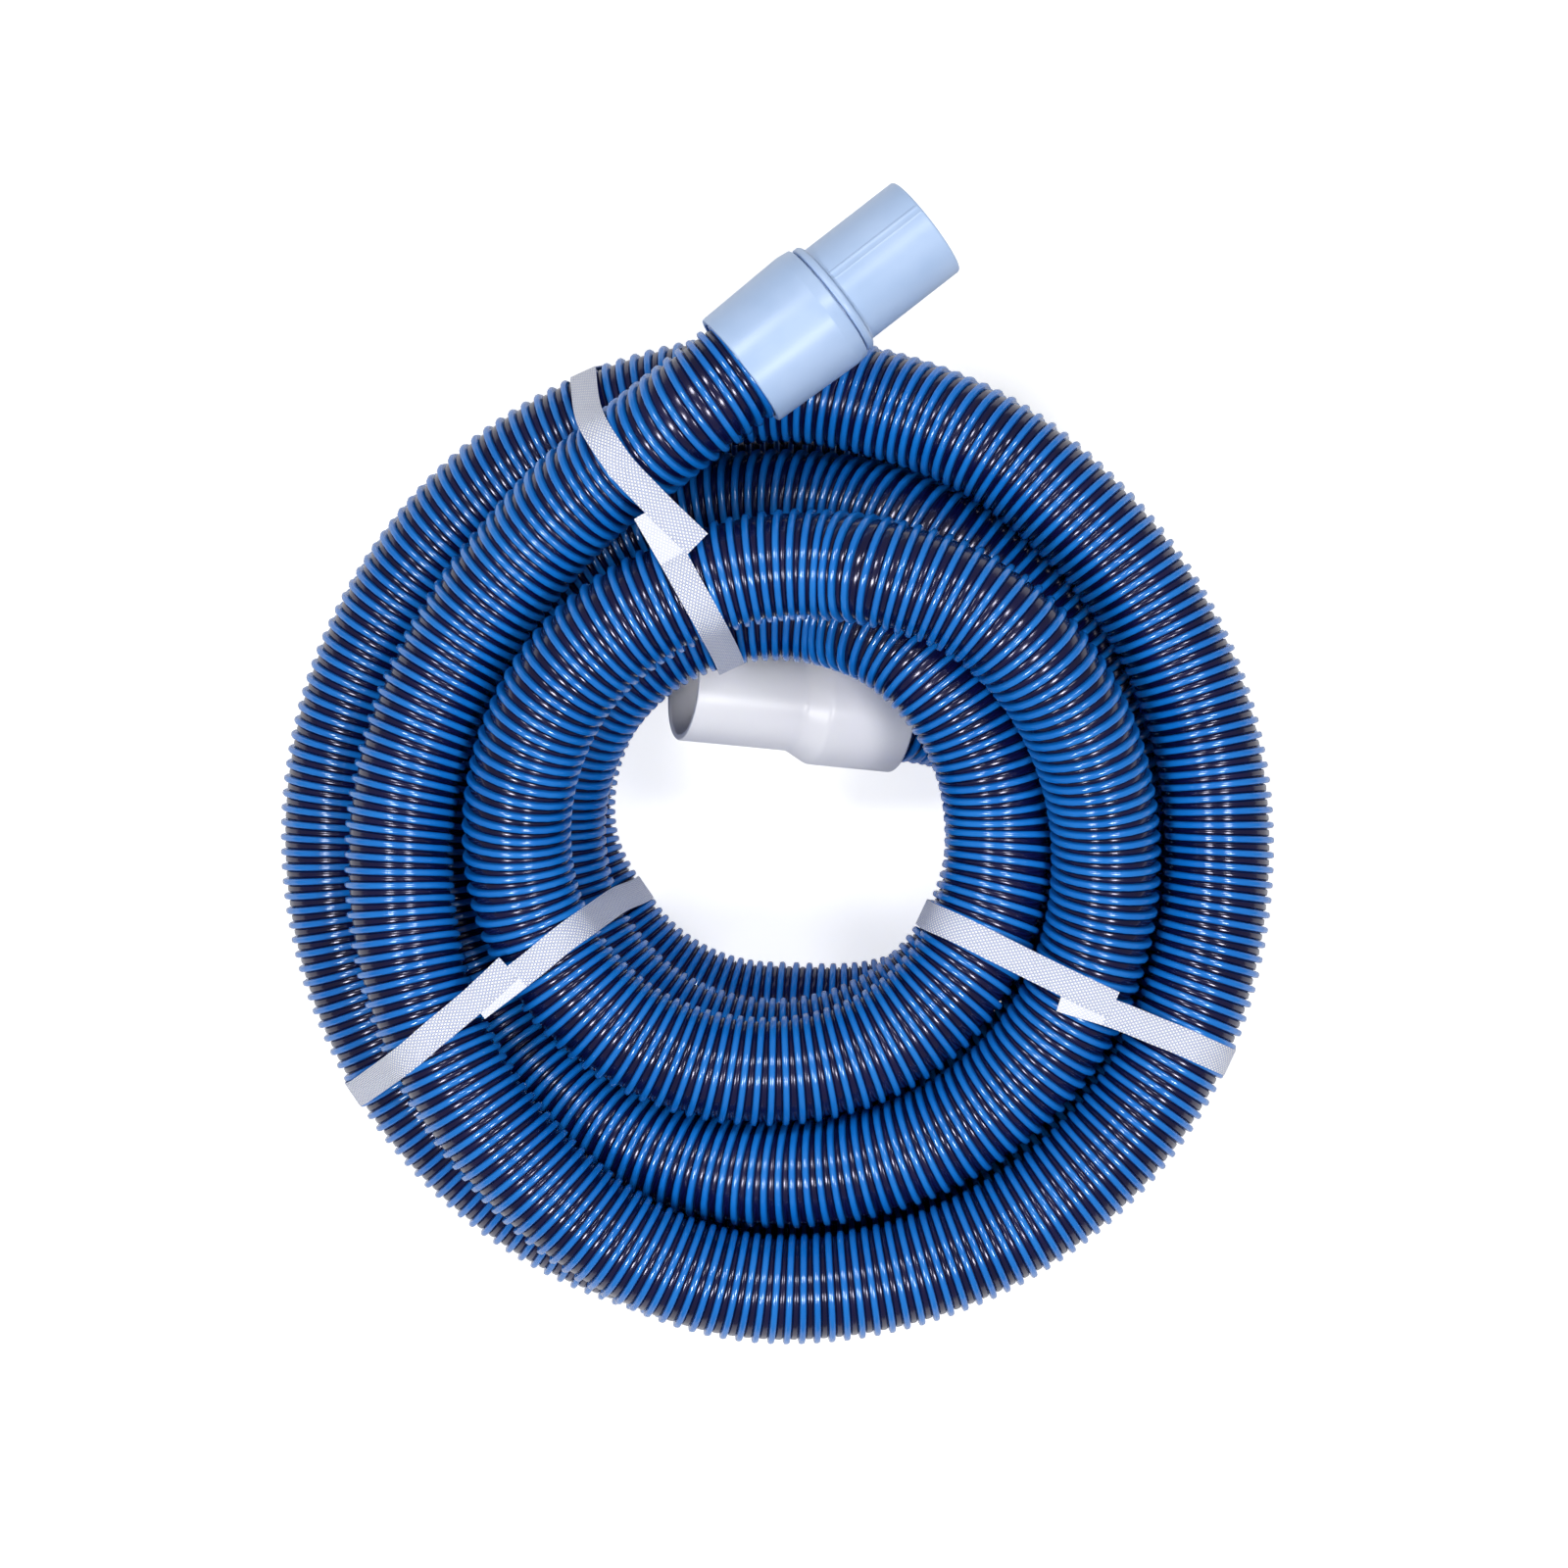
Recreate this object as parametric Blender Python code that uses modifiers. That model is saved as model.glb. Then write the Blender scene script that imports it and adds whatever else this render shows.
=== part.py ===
"""Swimming pool vacuum hose, 1-1/2 in bore, coiled and tied for sale with three tapes.

The hose lies in three columns and three rows of turns, seen from above as in the shop. Its first
end sits in a fixed cuff inside the coil, its last end in a swivel cuff that lies on top.

Frame: +Z up, and the three tapes stand on z = 0. Everything is modelled about the coil's axis and
then moved as one, so that the origin lies under the middle of the whole. Azimuths run
counter-clockwise from +X. The hose is laid clockwise, so its stations give clockwise degrees.
"""

import math

import bmesh
import bpy
import numpy as np
from mathutils import Matrix, Vector

# ---- Driving dimensions, in metres -------------------------------------------------------

FIT_GAP = 0.0003               # between pieces that touch
RUNNING_GAP = 0.0003           # between the swivel tube and its sleeve

# Hose
HOSE_OD = 0.045                # over the outer bead
HOSE_BORE = 0.038
BEAD_HEIGHT = 0.0015           # crest of the winding over its valley
RIB_COUNT = 158
HOSE_INSERTION = 0.034         # length of hose inside each cuff
HOSE_STRAIGHT_OUT = 0.011      # straight run in front of each cuff

# Coil
TURN_GAP = 0.001               # between neighbouring turns
COIL_INNER_RADIUS = 0.092      # coil's axis to the hose's axis in column 0
LANDING_SOFTNESS = 0.0016      # how gently the hose comes down onto the lowest row
COIL_AXIS_Y = -0.0278          # stands the coil so that the origin is under the whole's middle

# Tapes
TAPE_WIDTH = 0.0115
TAPE_THICKNESS = 0.0006
TAPE_OUTLINE_STEPS = 48
TAPE_DETOUR_STEP = 0.0015       # between points where a tape steps aside for the fixed cuff
TAPE_DETOUR_GAP = 0.00045       # from the tape to the fixed cuff

# Fixed cuff
FIXED_CUFF_LENGTH = 0.0954
FIXED_CUFF_WIDE_LENGTH = 0.0375
FIXED_CUFF_TAPER_LENGTH = 0.0095
FIXED_CUFF_END_OD = 0.0446
FIXED_CUFF_END_WALL = 0.0028
FIXED_CUFF_SOCKET_WALL = 0.0044

# Swivel cuff, sleeve
SLEEVE_LENGTH = 0.0446
SLEEVE_WALL = 0.00245          # at the hose's end
SLEEVE_FLARE = 0.00145         # growth in radius towards the front
SLEEVE_CHAMFER_LENGTH = 0.0056
SLEEVE_CHAMFER_DROP = 0.0007
SLEEVE_STOP_THICKNESS = 0.0017
SLEEVE_STOP_BORE = 0.0392

# Swivel cuff, tube
TUBE_OD = 0.0446
TUBE_BORE = 0.0386
TUBE_VISIBLE_LENGTH = 0.0493   # front gap's far side to the open end
FRONT_GAP = 0.0008             # dark gap between the sleeve and the flange
FLANGE_OD = 0.050
FLANGE_THICKNESS = 0.0036
SNAP_LIP_HEIGHT = 0.0012
SNAP_LIP_LENGTH = 0.002
SNAP_LIP_SETBACK = 0.0027      # sleeve's front edge to the lip

# Seal washer
WASHER_THICKNESS = 0.0018

TURNED_STEPS = 36              # sides of a turned piece
CHECK_STEP = 0.003             # between points where the hose is measured

# ---- Sizes that follow ---------------------------------------------------------------------

HOSE_RADIUS = HOSE_OD / 2
TURN_PITCH = HOSE_OD + TURN_GAP
LOWEST_ROW_HEIGHT = TAPE_THICKNESS + FIT_GAP + HOSE_RADIUS
SOCKET_RADIUS = HOSE_RADIUS + FIT_GAP
SOCKET_DEPTH = HOSE_INSERTION + FIT_GAP
CHAMBER_RADIUS = TUBE_OD / 2 + RUNNING_GAP

# ---- How the hose lies ---------------------------------------------------------------------

# One tuple of stations for each turn, each station as clockwise degrees, column and row.
# Column 0 is the inner turn, row 0 lies on the floor.
LAY = (
    # Column 0, row 0: opens out round the floor, then climbs beside the fixed cuff.
    ((45, 0.07, 0.00), (90, -0.33, 0.00), (150, -0.24, 0.00), (180, -0.04, 0.00),
     (240, 0.21, 0.00), (277, 0.39, 0.50), (292, 0.37, 0.81), (314, 0.14, 1.18),
     (335, 0.07, 1.11)),
    # Column 0, row 1: then up over the fixed cuff.
    ((0, 0.05, 1.00), (45, -0.01, 1.00), (90, -0.04, 1.00), (155, 0.00, 1.00),
     (180, 0.02, 1.10), (240, 0.07, 1.73), (280, 0.07, 1.84), (298, 0.07, 2.08),
     (314, 0.04, 2.18), (339, 0.02, 2.10)),
    # Column 0, row 2: then over the turn that crosses the cuff, the highest place of all.
    ((0, 0.00, 2.00), (45, 0.05, 2.00), (90, 0.08, 2.00), (150, 0.24, 2.00),
     (170, 0.28, 2.09), (195, 0.29, 2.33), (220, 0.30, 2.58), (240, 0.30, 2.71),
     (280, 0.43, 2.82), (292, 0.50, 2.95), (314, 0.69, 3.00)),
    # Column 1, row 2: sinks into row 1 on the far side.
    ((0, 0.92, 2.39), (45, 1.06, 1.95), (90, 1.03, 1.65), (115, 1.01, 1.41),
     (135, 1.00, 1.18), (160, 1.01, 1.01), (180, 1.02, 1.00), (240, 1.03, 1.06),
     (277, 1.04, 1.34), (300, 1.05, 1.67), (314, 1.04, 1.64)),
    # Column 1, row 1: sinks to the floor and winds outwards.
    ((0, 1.04, 1.28), (45, 1.02, 0.93), (90, 0.99, 0.58), (115, 1.00, 0.33),
     (135, 1.01, 0.16), (160, 1.02, 0.00), (180, 1.03, 0.00), (210, 1.10, 0.00), (240, 1.24, 0.00),
     (270, 1.34, 0.00)),
    # Column 2, row 0: then climbs.
    ((0, 1.59, 0.00), (90, 1.83, 0.00), (108, 1.92, 0.00), (135, 2.00, 0.00),
     (180, 2.03, 0.00), (210, 2.11, 0.16), (235, 2.13, 0.45), (270, 2.10, 0.71),
     (300, 2.06, 0.93)),
    # Column 2, row 1: then climbs again.
    ((0, 2.02, 1.00), (90, 2.03, 1.00), (180, 2.02, 1.00), (210, 2.02, 1.17),
     (235, 2.04, 1.48), (255, 2.04, 1.63), (270, 2.04, 1.75), (285, 1.99, 1.89),
     (300, 1.97, 2.09), (315, 1.93, 2.13)),
    # Column 2, row 2: crosses to column 1, then rises towards the swivel cuff.
    ((0, 1.96, 2.02), (45, 2.07, 2.00), (90, 2.02, 2.00), (135, 1.60, 2.06),
     (180, 1.34, 2.00), (210, 1.28, 2.03), (225, 1.32, 2.15), (245, 1.51, 2.50)),
)
FIRST_BEND_HANDLE = 0.5        # shares of the gap that the curves out of the cuffs run straight on
LAST_BEND_HANDLE = 0.36

# Fixed cuff: its mouth as a station, and its open end as a column and a row. The angle of that end
# follows from the cuff's length.
FIXED_CUFF_MOUTH = (-46.3, -0.37, 0.18)
FIXED_CUFF_OPEN_END = (-0.3998, 0.8256)

# Swivel cuff: its mouth as a station, and the way it points.
SWIVEL_CUFF_MOUTH = (-94.1, 2.09, 2.87)
SWIVEL_CUFF_AZIMUTH = math.radians(38)
SWIVEL_CUFF_PITCH = math.radians(-2)

# Each tape: the azimuth it runs out along, and how far its line passes from the coil's axis.
TAPES = (
    ("tape_band_1", math.radians(114.7), -0.0130),
    ("tape_band_2", math.radians(214.4), -0.0130),
    ("tape_band_3", math.radians(-25.1), -0.0022),
)

# ---- Scene and materials -------------------------------------------------------------------


def clear_scene():
    for found in list(bpy.data.objects):
        bpy.data.objects.remove(found, do_unlink=True)


def make_collection(name):
    collection = bpy.data.collections.new(name)
    bpy.context.scene.collection.children.link(collection)
    return collection


def make_material(name, colour, roughness, metallic=0.0):
    material = bpy.data.materials.new(name)
    material.use_nodes = True
    shader = material.node_tree.nodes["Principled BSDF"]
    shader.inputs["Base Color"].default_value = (*colour, 1.0)
    shader.inputs["Roughness"].default_value = roughness
    shader.inputs["Metallic"].default_value = metallic
    material.diffuse_color = (*colour, 1.0)
    return material


# ---- The hose's route ----------------------------------------------------------------------


def lay_point(degrees, column, row):
    """World point at a clockwise angle, a column and a row of the coil."""
    radius = COIL_INNER_RADIUS + column * TURN_PITCH
    angle = -math.radians(degrees)
    height = LOWEST_ROW_HEIGHT + row * TURN_PITCH
    return Vector((radius * math.cos(angle), radius * math.sin(angle), height))


def unit(vector):
    return vector / np.linalg.norm(vector)


def smooth_through(stations, values, at):
    """Smooth curve through the stations that never swings past their values."""
    width = np.diff(stations)
    slope = np.diff(values) / width
    before = 2 * width[1:] + width[:-1]
    after = width[1:] + 2 * width[:-1]
    same_way = slope[:-1] * slope[1:] > 0
    safe_before = np.where(same_way, slope[:-1], 1.0)
    safe_after = np.where(same_way, slope[1:], 1.0)
    mean = (before + after) / (before / safe_before + after / safe_after)
    tangent = np.concatenate(([slope[0]], np.where(same_way, mean, 0.0), [slope[-1]]))
    i = np.clip(np.searchsorted(stations, at, side="right") - 1, 0, len(width) - 1)
    t = (at - stations[i]) / width[i]
    rise = t * t * (3 - 2 * t)
    start_pull = t * (1 - t) ** 2 * width[i] * tangent[i]
    end_pull = t * t * (t - 1) * width[i] * tangent[i + 1]
    return values[i] + rise * (values[i + 1] - values[i]) + start_pull + end_pull


def coil_points():
    """The turns, as points every two degrees along the laid stations."""
    laid = np.array([(360 * turn + degrees, column, row)
                     for turn, stations in enumerate(LAY)
                     for degrees, column, row in stations])
    angles = np.arange(laid[0, 0] + 1, laid[-1, 0] + 0.5, 2.0)
    columns = smooth_through(laid[:, 0], laid[:, 1], angles)
    rows = smooth_through(laid[:, 0], laid[:, 2], angles)
    return np.array([lay_point(*station) for station in zip(angles, columns, rows)])


def bend(start, start_way, end, end_way, handle, count):
    """Points of a cubic curve that leaves and arrives along the given ways."""
    reach = handle * np.linalg.norm(end - start)
    t = np.linspace(0, 1, count)[:, None]
    return ((1 - t) ** 3 * start
            + 3 * (1 - t) ** 2 * t * (start + start_way * reach)
            + 3 * (1 - t) * t ** 2 * (end - end_way * reach)
            + t ** 3 * end)


def landing(points, way):
    """The same points, coming down the cuff's slope and easing onto the lowest row."""
    steps = np.linalg.norm(np.diff(points[:, :2], axis=0), axis=1)
    travelled = np.concatenate(([0.0], np.cumsum(steps)))
    straight = points[0, 2] + travelled * way[2] / math.hypot(way[0], way[1])
    over = (straight - LOWEST_ROW_HEIGHT) / LANDING_SOFTNESS
    landed = points.copy()
    landed[:, 2] = LOWEST_ROW_HEIGHT + LANDING_SOFTNESS * np.log1p(np.exp(over))
    return landed


def evenly_spaced(points, count):
    """The same line, as count points at equal steps along it."""
    steps = np.linalg.norm(np.diff(points, axis=0), axis=1)
    travelled = np.concatenate(([0.0], np.cumsum(steps)))
    wanted = np.linspace(0, travelled[-1], count)
    return np.stack([np.interp(wanted, travelled, points[:, k]) for k in range(3)], axis=1)


def fixed_cuff_span():
    """Degrees round the coil that the cuff's length takes it, between its two radii."""
    (_, column, row), (end_column, end_row) = FIXED_CUFF_MOUTH, FIXED_CUFF_OPEN_END
    first = COIL_INNER_RADIUS + column * TURN_PITCH
    last = COIL_INNER_RADIUS + end_column * TURN_PITCH
    rise = (end_row - row) * TURN_PITCH
    level = FIXED_CUFF_LENGTH ** 2 - rise ** 2
    return math.degrees(math.acos((first ** 2 + last ** 2 - level) / (2 * first * last)))


def fixed_cuff_axis():
    """Mouth of the fixed cuff and the way from it to the open end."""
    mouth = np.array(lay_point(*FIXED_CUFF_MOUTH))
    open_end = np.array(lay_point(FIXED_CUFF_MOUTH[0] - fixed_cuff_span(), *FIXED_CUFF_OPEN_END))
    return mouth, unit(open_end - mouth)


def swivel_cuff_axis():
    """Mouth of the swivel cuff and the way from it to the open end."""
    level = math.cos(SWIVEL_CUFF_PITCH)
    way = np.array((level * math.cos(SWIVEL_CUFF_AZIMUTH),
                    level * math.sin(SWIVEL_CUFF_AZIMUTH),
                    math.sin(SWIVEL_CUFF_PITCH)))
    return np.array(lay_point(*SWIVEL_CUFF_MOUTH)), way


def hose_centre_line():
    """The hose's centre line, from its end in the fixed cuff to its end in the swivel cuff.

    It has a point for each crest and each valley, which the hose and the tapes both follow.
    """
    fixed_mouth, fixed_way = fixed_cuff_axis()
    swivel_mouth, swivel_way = swivel_cuff_axis()
    turns = coil_points()
    start = fixed_mouth - fixed_way * HOSE_STRAIGHT_OUT
    end = swivel_mouth - swivel_way * HOSE_STRAIGHT_OUT
    first = bend(start, -fixed_way, turns[0], unit(turns[1] - turns[0]), FIRST_BEND_HANDLE, 60)
    last = bend(turns[-1], unit(turns[-1] - turns[-2]), end, swivel_way, LAST_BEND_HANDLE, 20)
    smooth = np.vstack((
        fixed_mouth + fixed_way * HOSE_INSERTION,
        landing(first, -fixed_way),
        turns[1:],
        last[1:],
        swivel_mouth + swivel_way * HOSE_INSERTION,
    ))
    return evenly_spaced(smooth, 2 * RIB_COUNT)


def length_of(points):
    return float(np.linalg.norm(np.diff(points, axis=0), axis=1).sum())


def least_gap(centre_line):
    """Least clear distance between any two stretches of the hose over two diameters apart."""
    points = evenly_spaced(centre_line, int(length_of(centre_line) / CHECK_STEP))
    apart = int(2.2 * HOSE_OD / CHECK_STEP)
    least = min(float(np.linalg.norm(points[i + apart:] - points[i], axis=1).min())
                for i in range(len(points) - apart))
    return least - HOSE_OD


# ---- Shape helpers -------------------------------------------------------------------------


def rounded(corners, arc_steps=2):
    """Outline from (radius, height, fillet) corners, with each fillet as an arc."""
    outline = []
    for i, (radius, height, fillet) in enumerate(corners):
        here = Vector((radius, height))
        if fillet == 0:
            outline.append(here)
            continue
        before = (Vector(corners[i - 1][:2]) - here).normalized()
        after = (Vector(corners[(i + 1) % len(corners)][:2]) - here).normalized()
        half = before.angle(after) / 2
        centre = here + (before + after).normalized() * (fillet / math.sin(half))
        first = here + before * (fillet / math.tan(half)) - centre
        last = here + after * (fillet / math.tan(half)) - centre
        outline.extend(centre + first.slerp(last, step / arc_steps) * fillet
                       for step in range(arc_steps + 1))
    return outline


def axis_matrix(origin, way):
    """Placement with local +Z along the way."""
    rotation = Vector(way).to_track_quat("Z", "Y").to_matrix().to_4x4()
    return Matrix.Translation(Vector(origin)) @ rotation


def turned_piece(name, corners, placement, material, collection):
    """A piece turned about its local Z from a closed outline, outer side from the top down."""
    outline = rounded(corners)
    mesh = bpy.data.meshes.new(name)
    count = len(outline)
    mesh.from_pydata([(p.x, 0.0, p.y) for p in outline],
                     [(i, (i + 1) % count) for i in range(count)], [])
    piece = bpy.data.objects.new(name, mesh)
    collection.objects.link(piece)
    screw = piece.modifiers.new("Turn", "SCREW")
    screw.axis = "Z"
    screw.angle = 2 * math.pi
    screw.steps = TURNED_STEPS
    screw.render_steps = TURNED_STEPS
    screw.use_merge_vertices = True
    screw.merge_threshold = 0.00001
    screw.use_smooth_shade = True
    mesh.materials.append(material)
    piece.matrix_world = placement
    return piece


def tube_curve(name, points, radii, sides_resolution, collection):
    """A round tube along the points, with a radius at each."""
    curve = bpy.data.curves.new(name, "CURVE")
    curve.dimensions = "3D"
    curve.bevel_depth = 1.0
    curve.bevel_resolution = sides_resolution
    curve.use_fill_caps = True
    spline = curve.splines.new("POLY")
    spline.points.add(len(points) - 1)
    for target, point, radius in zip(spline.points, points, radii):
        target.co = (*point, 1.0)
        target.radius = radius
    tube = bpy.data.objects.new(name, curve)
    collection.objects.link(tube)
    return tube


def curve_to_mesh(tube):
    """Replace a curve object by the closed mesh that it shows."""
    bpy.context.view_layer.update()
    graph = bpy.context.evaluated_depsgraph_get()
    mesh = bpy.data.meshes.new_from_object(tube.evaluated_get(graph))
    welded = bmesh.new()
    welded.from_mesh(mesh)
    bmesh.ops.remove_doubles(welded, verts=welded.verts, dist=0.00001)
    bmesh.ops.recalc_face_normals(welded, faces=welded.faces)
    welded.to_mesh(mesh)
    welded.free()
    name = tube.name
    collection = tube.users_collection[0]
    bpy.data.objects.remove(tube, do_unlink=True)
    solid = bpy.data.objects.new(name, mesh)
    collection.objects.link(solid)
    return solid


# ---- Hose ----------------------------------------------------------------------------------


def make_hose(points, collection, cutters):
    """Ribbed tube with its bore cut out. Crests and valleys take turns along the points."""
    radii = [HOSE_RADIUS - BEAD_HEIGHT * (i % 2) for i in range(len(points))]
    hose = curve_to_mesh(tube_curve("hose", points, radii, 2, collection))

    through = points.copy()
    through[0] += unit(points[0] - points[1]) * BEAD_HEIGHT
    through[-1] += unit(points[-1] - points[-2]) * BEAD_HEIGHT
    bore_radii = [HOSE_BORE / 2] * len(points)
    bore = curve_to_mesh(tube_curve("hose_bore", through, bore_radii, 1, cutters))
    bore.hide_render = True
    bore.display_type = "WIRE"

    cut = hose.modifiers.new("Bore", "BOOLEAN")
    cut.operation = "DIFFERENCE"
    cut.solver = "EXACT"
    cut.object = bore
    hose.data.shade_smooth()
    hose.data.materials.clear()
    hose.data.materials.append(make_material("hose_blue", (0.03, 0.22, 0.66), 0.22))
    return hose


# ---- Fixed cuff ----------------------------------------------------------------------------


def make_fixed_cuff(collection):
    """One moulding: a wide socket for the hose, a short taper and a narrow open end."""
    mouth, way = fixed_cuff_axis()
    wide = SOCKET_RADIUS + FIXED_CUFF_SOCKET_WALL
    narrow = FIXED_CUFF_END_OD / 2
    bore = narrow - FIXED_CUFF_END_WALL
    taper_start = FIXED_CUFF_WIDE_LENGTH
    taper_end = taper_start + FIXED_CUFF_TAPER_LENGTH
    stop = SOCKET_DEPTH
    rim_round = FIXED_CUFF_END_WALL * 0.35
    corners = (
        (narrow, FIXED_CUFF_LENGTH, rim_round),
        (narrow, taper_end, 0.006),
        (wide, taper_start, 0.006),
        (wide, 0.0, 0.0012),
        (SOCKET_RADIUS, 0.0, 0.0006),
        (SOCKET_RADIUS, stop, 0),
        (bore, stop, 0.0008),
        (bore, FIXED_CUFF_LENGTH, rim_round),
    )
    material = make_material("cuff_white", (0.80, 0.80, 0.86), 0.35)
    return turned_piece("fixed_cuff", corners, axis_matrix(mouth, way), material, collection)


# ---- Swivel cuff ---------------------------------------------------------------------------


def tube_start():
    """Where the swivel tube begins, up the sleeve from its mouth."""
    return SOCKET_DEPTH + SLEEVE_STOP_THICKNESS + WASHER_THICKNESS + 2 * FIT_GAP


def lip_span():
    """Lower and upper end of the tube's snap lip, up the sleeve from its mouth."""
    top = SLEEVE_LENGTH - SNAP_LIP_SETBACK
    return top - SNAP_LIP_LENGTH, top


def make_swivel_sleeve(material, collection):
    """Flared sleeve: socket for the hose, a stop, and a chamber with the snap groove."""
    mouth, way = swivel_cuff_axis()
    outer_mouth = SOCKET_RADIUS + SLEEVE_WALL
    outer_front = outer_mouth + SLEEVE_FLARE
    chamfer_start = SLEEVE_LENGTH - SLEEVE_CHAMFER_LENGTH
    stop_top = SOCKET_DEPTH + SLEEVE_STOP_THICKNESS
    lip_low, lip_top = lip_span()
    groove = CHAMBER_RADIUS + SNAP_LIP_HEIGHT
    corners = (
        (outer_front - SLEEVE_CHAMFER_DROP, SLEEVE_LENGTH, 0.0005),
        (outer_front, chamfer_start, 0.003),
        (outer_mouth, 0.0, 0.0006),
        (SOCKET_RADIUS, 0.0, 0.0004),
        (SOCKET_RADIUS, SOCKET_DEPTH, 0),
        (SLEEVE_STOP_BORE / 2, SOCKET_DEPTH, 0.0004),
        (SLEEVE_STOP_BORE / 2, stop_top, 0.0004),
        (CHAMBER_RADIUS, stop_top, 0),
        (CHAMBER_RADIUS, lip_low - RUNNING_GAP, 0),
        (groove, lip_low - RUNNING_GAP, 0),
        (groove, lip_top + RUNNING_GAP, 0),
        (CHAMBER_RADIUS, lip_top + RUNNING_GAP, 0),
        (CHAMBER_RADIUS, SLEEVE_LENGTH, 0.0004),
    )
    placement = axis_matrix(mouth, way)
    return turned_piece("swivel_sleeve", corners, placement, material, collection)


def make_swivel_tube(material, collection):
    """Tube that turns in the sleeve: snap lip inside, flange in front, plain open end."""
    mouth, way = swivel_cuff_axis()
    front = SLEEVE_LENGTH
    flange_back = FRONT_GAP
    flange_front = flange_back + FLANGE_THICKNESS
    end = FRONT_GAP + TUBE_VISIBLE_LENGTH
    lip_low, lip_top = lip_span()
    start = tube_start() - front
    tube = TUBE_OD / 2
    lip = tube + SNAP_LIP_HEIGHT
    rim_round = (TUBE_OD - TUBE_BORE) / 2 * 0.35
    corners = (
        (tube, end, rim_round),
        (tube, flange_front, 0.0012),
        (FLANGE_OD / 2, flange_front, 0.0014),
        (FLANGE_OD / 2, flange_back, 0.0010),
        (tube, flange_back, 0),
        (tube, lip_top - front, 0),
        (lip, lip_top - front, 0),
        (lip, lip_low - front + SNAP_LIP_LENGTH * 0.4, 0),
        (tube, lip_low - front, 0),
        (tube, start, 0),
        (TUBE_BORE / 2, start, 0.0004),
        (TUBE_BORE / 2, end, rim_round),
    )
    placement = axis_matrix(mouth + way * front, way)
    return turned_piece("swivel_tube", corners, placement, material, collection)


def make_seal_washer(collection):
    """Flat washer between the sleeve's stop and the end of the swivel tube."""
    mouth, way = swivel_cuff_axis()
    base = SOCKET_DEPTH + SLEEVE_STOP_THICKNESS + FIT_GAP
    outer = CHAMBER_RADIUS - FIT_GAP
    inner = SLEEVE_STOP_BORE / 2
    corners = (
        (outer, WASHER_THICKNESS, 0),
        (outer, 0.0, 0),
        (inner, 0.0, 0),
        (inner, WASHER_THICKNESS, 0),
    )
    material = make_material("seal_rubber", (0.02, 0.02, 0.02), 0.7)
    placement = axis_matrix(mouth + way * base, way)
    return turned_piece("seal_washer", corners, placement, material, collection)


# ---- Tapes ---------------------------------------------------------------------------------


def slab_discs(points, radius, azimuth, offset):
    """Circles that a round bar along the points shows to a tape: distance out, height, radius.

    The tape's slab is its width thick. A bar's point beside the slab shows a smaller circle.
    """
    out_way = np.array((math.cos(azimuth), math.sin(azimuth)))
    side_way = np.array((-math.sin(azimuth), math.cos(azimuth)))
    out = points[:, :2] @ out_way
    beside = np.maximum(np.abs(points[:, :2] @ side_way - offset) - TAPE_WIDTH / 2, 0)
    seen = (beside < radius) & (out > 0)
    return np.stack((out[seen], points[seen, 2], np.sqrt(radius ** 2 - beside[seen] ** 2)), axis=1)


def outline_round(discs, growth):
    """Taut outline round the discs, grown, as points every few degrees of its direction."""
    outline = []
    for step in range(TAPE_OUTLINE_STEPS):
        angle = 2 * math.pi * step / TAPE_OUTLINE_STEPS
        # Two directions that lean apart pick both ends of a straight run.
        for lean in (-0.001, 0.001):
            reach = (discs[:, 0] * math.cos(angle + lean)
                     + discs[:, 1] * math.sin(angle + lean) + discs[:, 2])
            out, height, radius = discs[int(np.argmax(reach))]
            point = (out + (radius + growth) * math.cos(angle),
                     height + (radius + growth) * math.sin(angle))
            if not outline or math.dist(point, outline[-1]) > TAPE_THICKNESS:
                outline.append(point)
    return outline


def step_aside(outline, obstacle, growth):
    """The outline, pushed outwards where it would run through the discs of an obstacle."""
    passed = []
    for i, here in enumerate(outline):
        ahead = outline[(i + 1) % len(outline)]
        pieces = max(1, int(math.dist(here, ahead) / TAPE_DETOUR_STEP))
        for piece in range(pieces):
            share = piece / pieces
            out, height = np.array(here) * (1 - share) + np.array(ahead) * share
            level = (obstacle[:, 2] + growth) ** 2 - (obstacle[:, 1] - height) ** 2
            crossed = level > 0
            reach = max(obstacle[crossed, 0] + np.sqrt(level[crossed]), default=0.0)
            point = (max(out, reach), height)
            if passed and math.dist(point, passed[-1]) < FIT_GAP:
                continue
            if piece == 0 or reach > out:
                passed.append(point)
    return passed


def face_beside(outline, distance):
    """The closed outline moved outwards by the distance, with each straight edge kept parallel."""
    points = np.array(outline)
    edges = np.roll(points, -1, axis=0) - points
    edges /= np.linalg.norm(edges, axis=1)[:, None]
    after = np.stack((edges[:, 1], -edges[:, 0]), axis=1)
    before = np.roll(after, 1, axis=0)
    corner = (before + after) / (1 + np.sum(before * after, axis=1))[:, None]
    return points + corner * distance


def add_flat_outline(curve, outline):
    spline = curve.splines.new("POLY")
    spline.points.add(len(outline) - 1)
    for target, (x, y) in zip(spline.points, outline):
        target.co = (x, y, 0.0, 1.0)
    spline.use_cyclic_u = True


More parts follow.
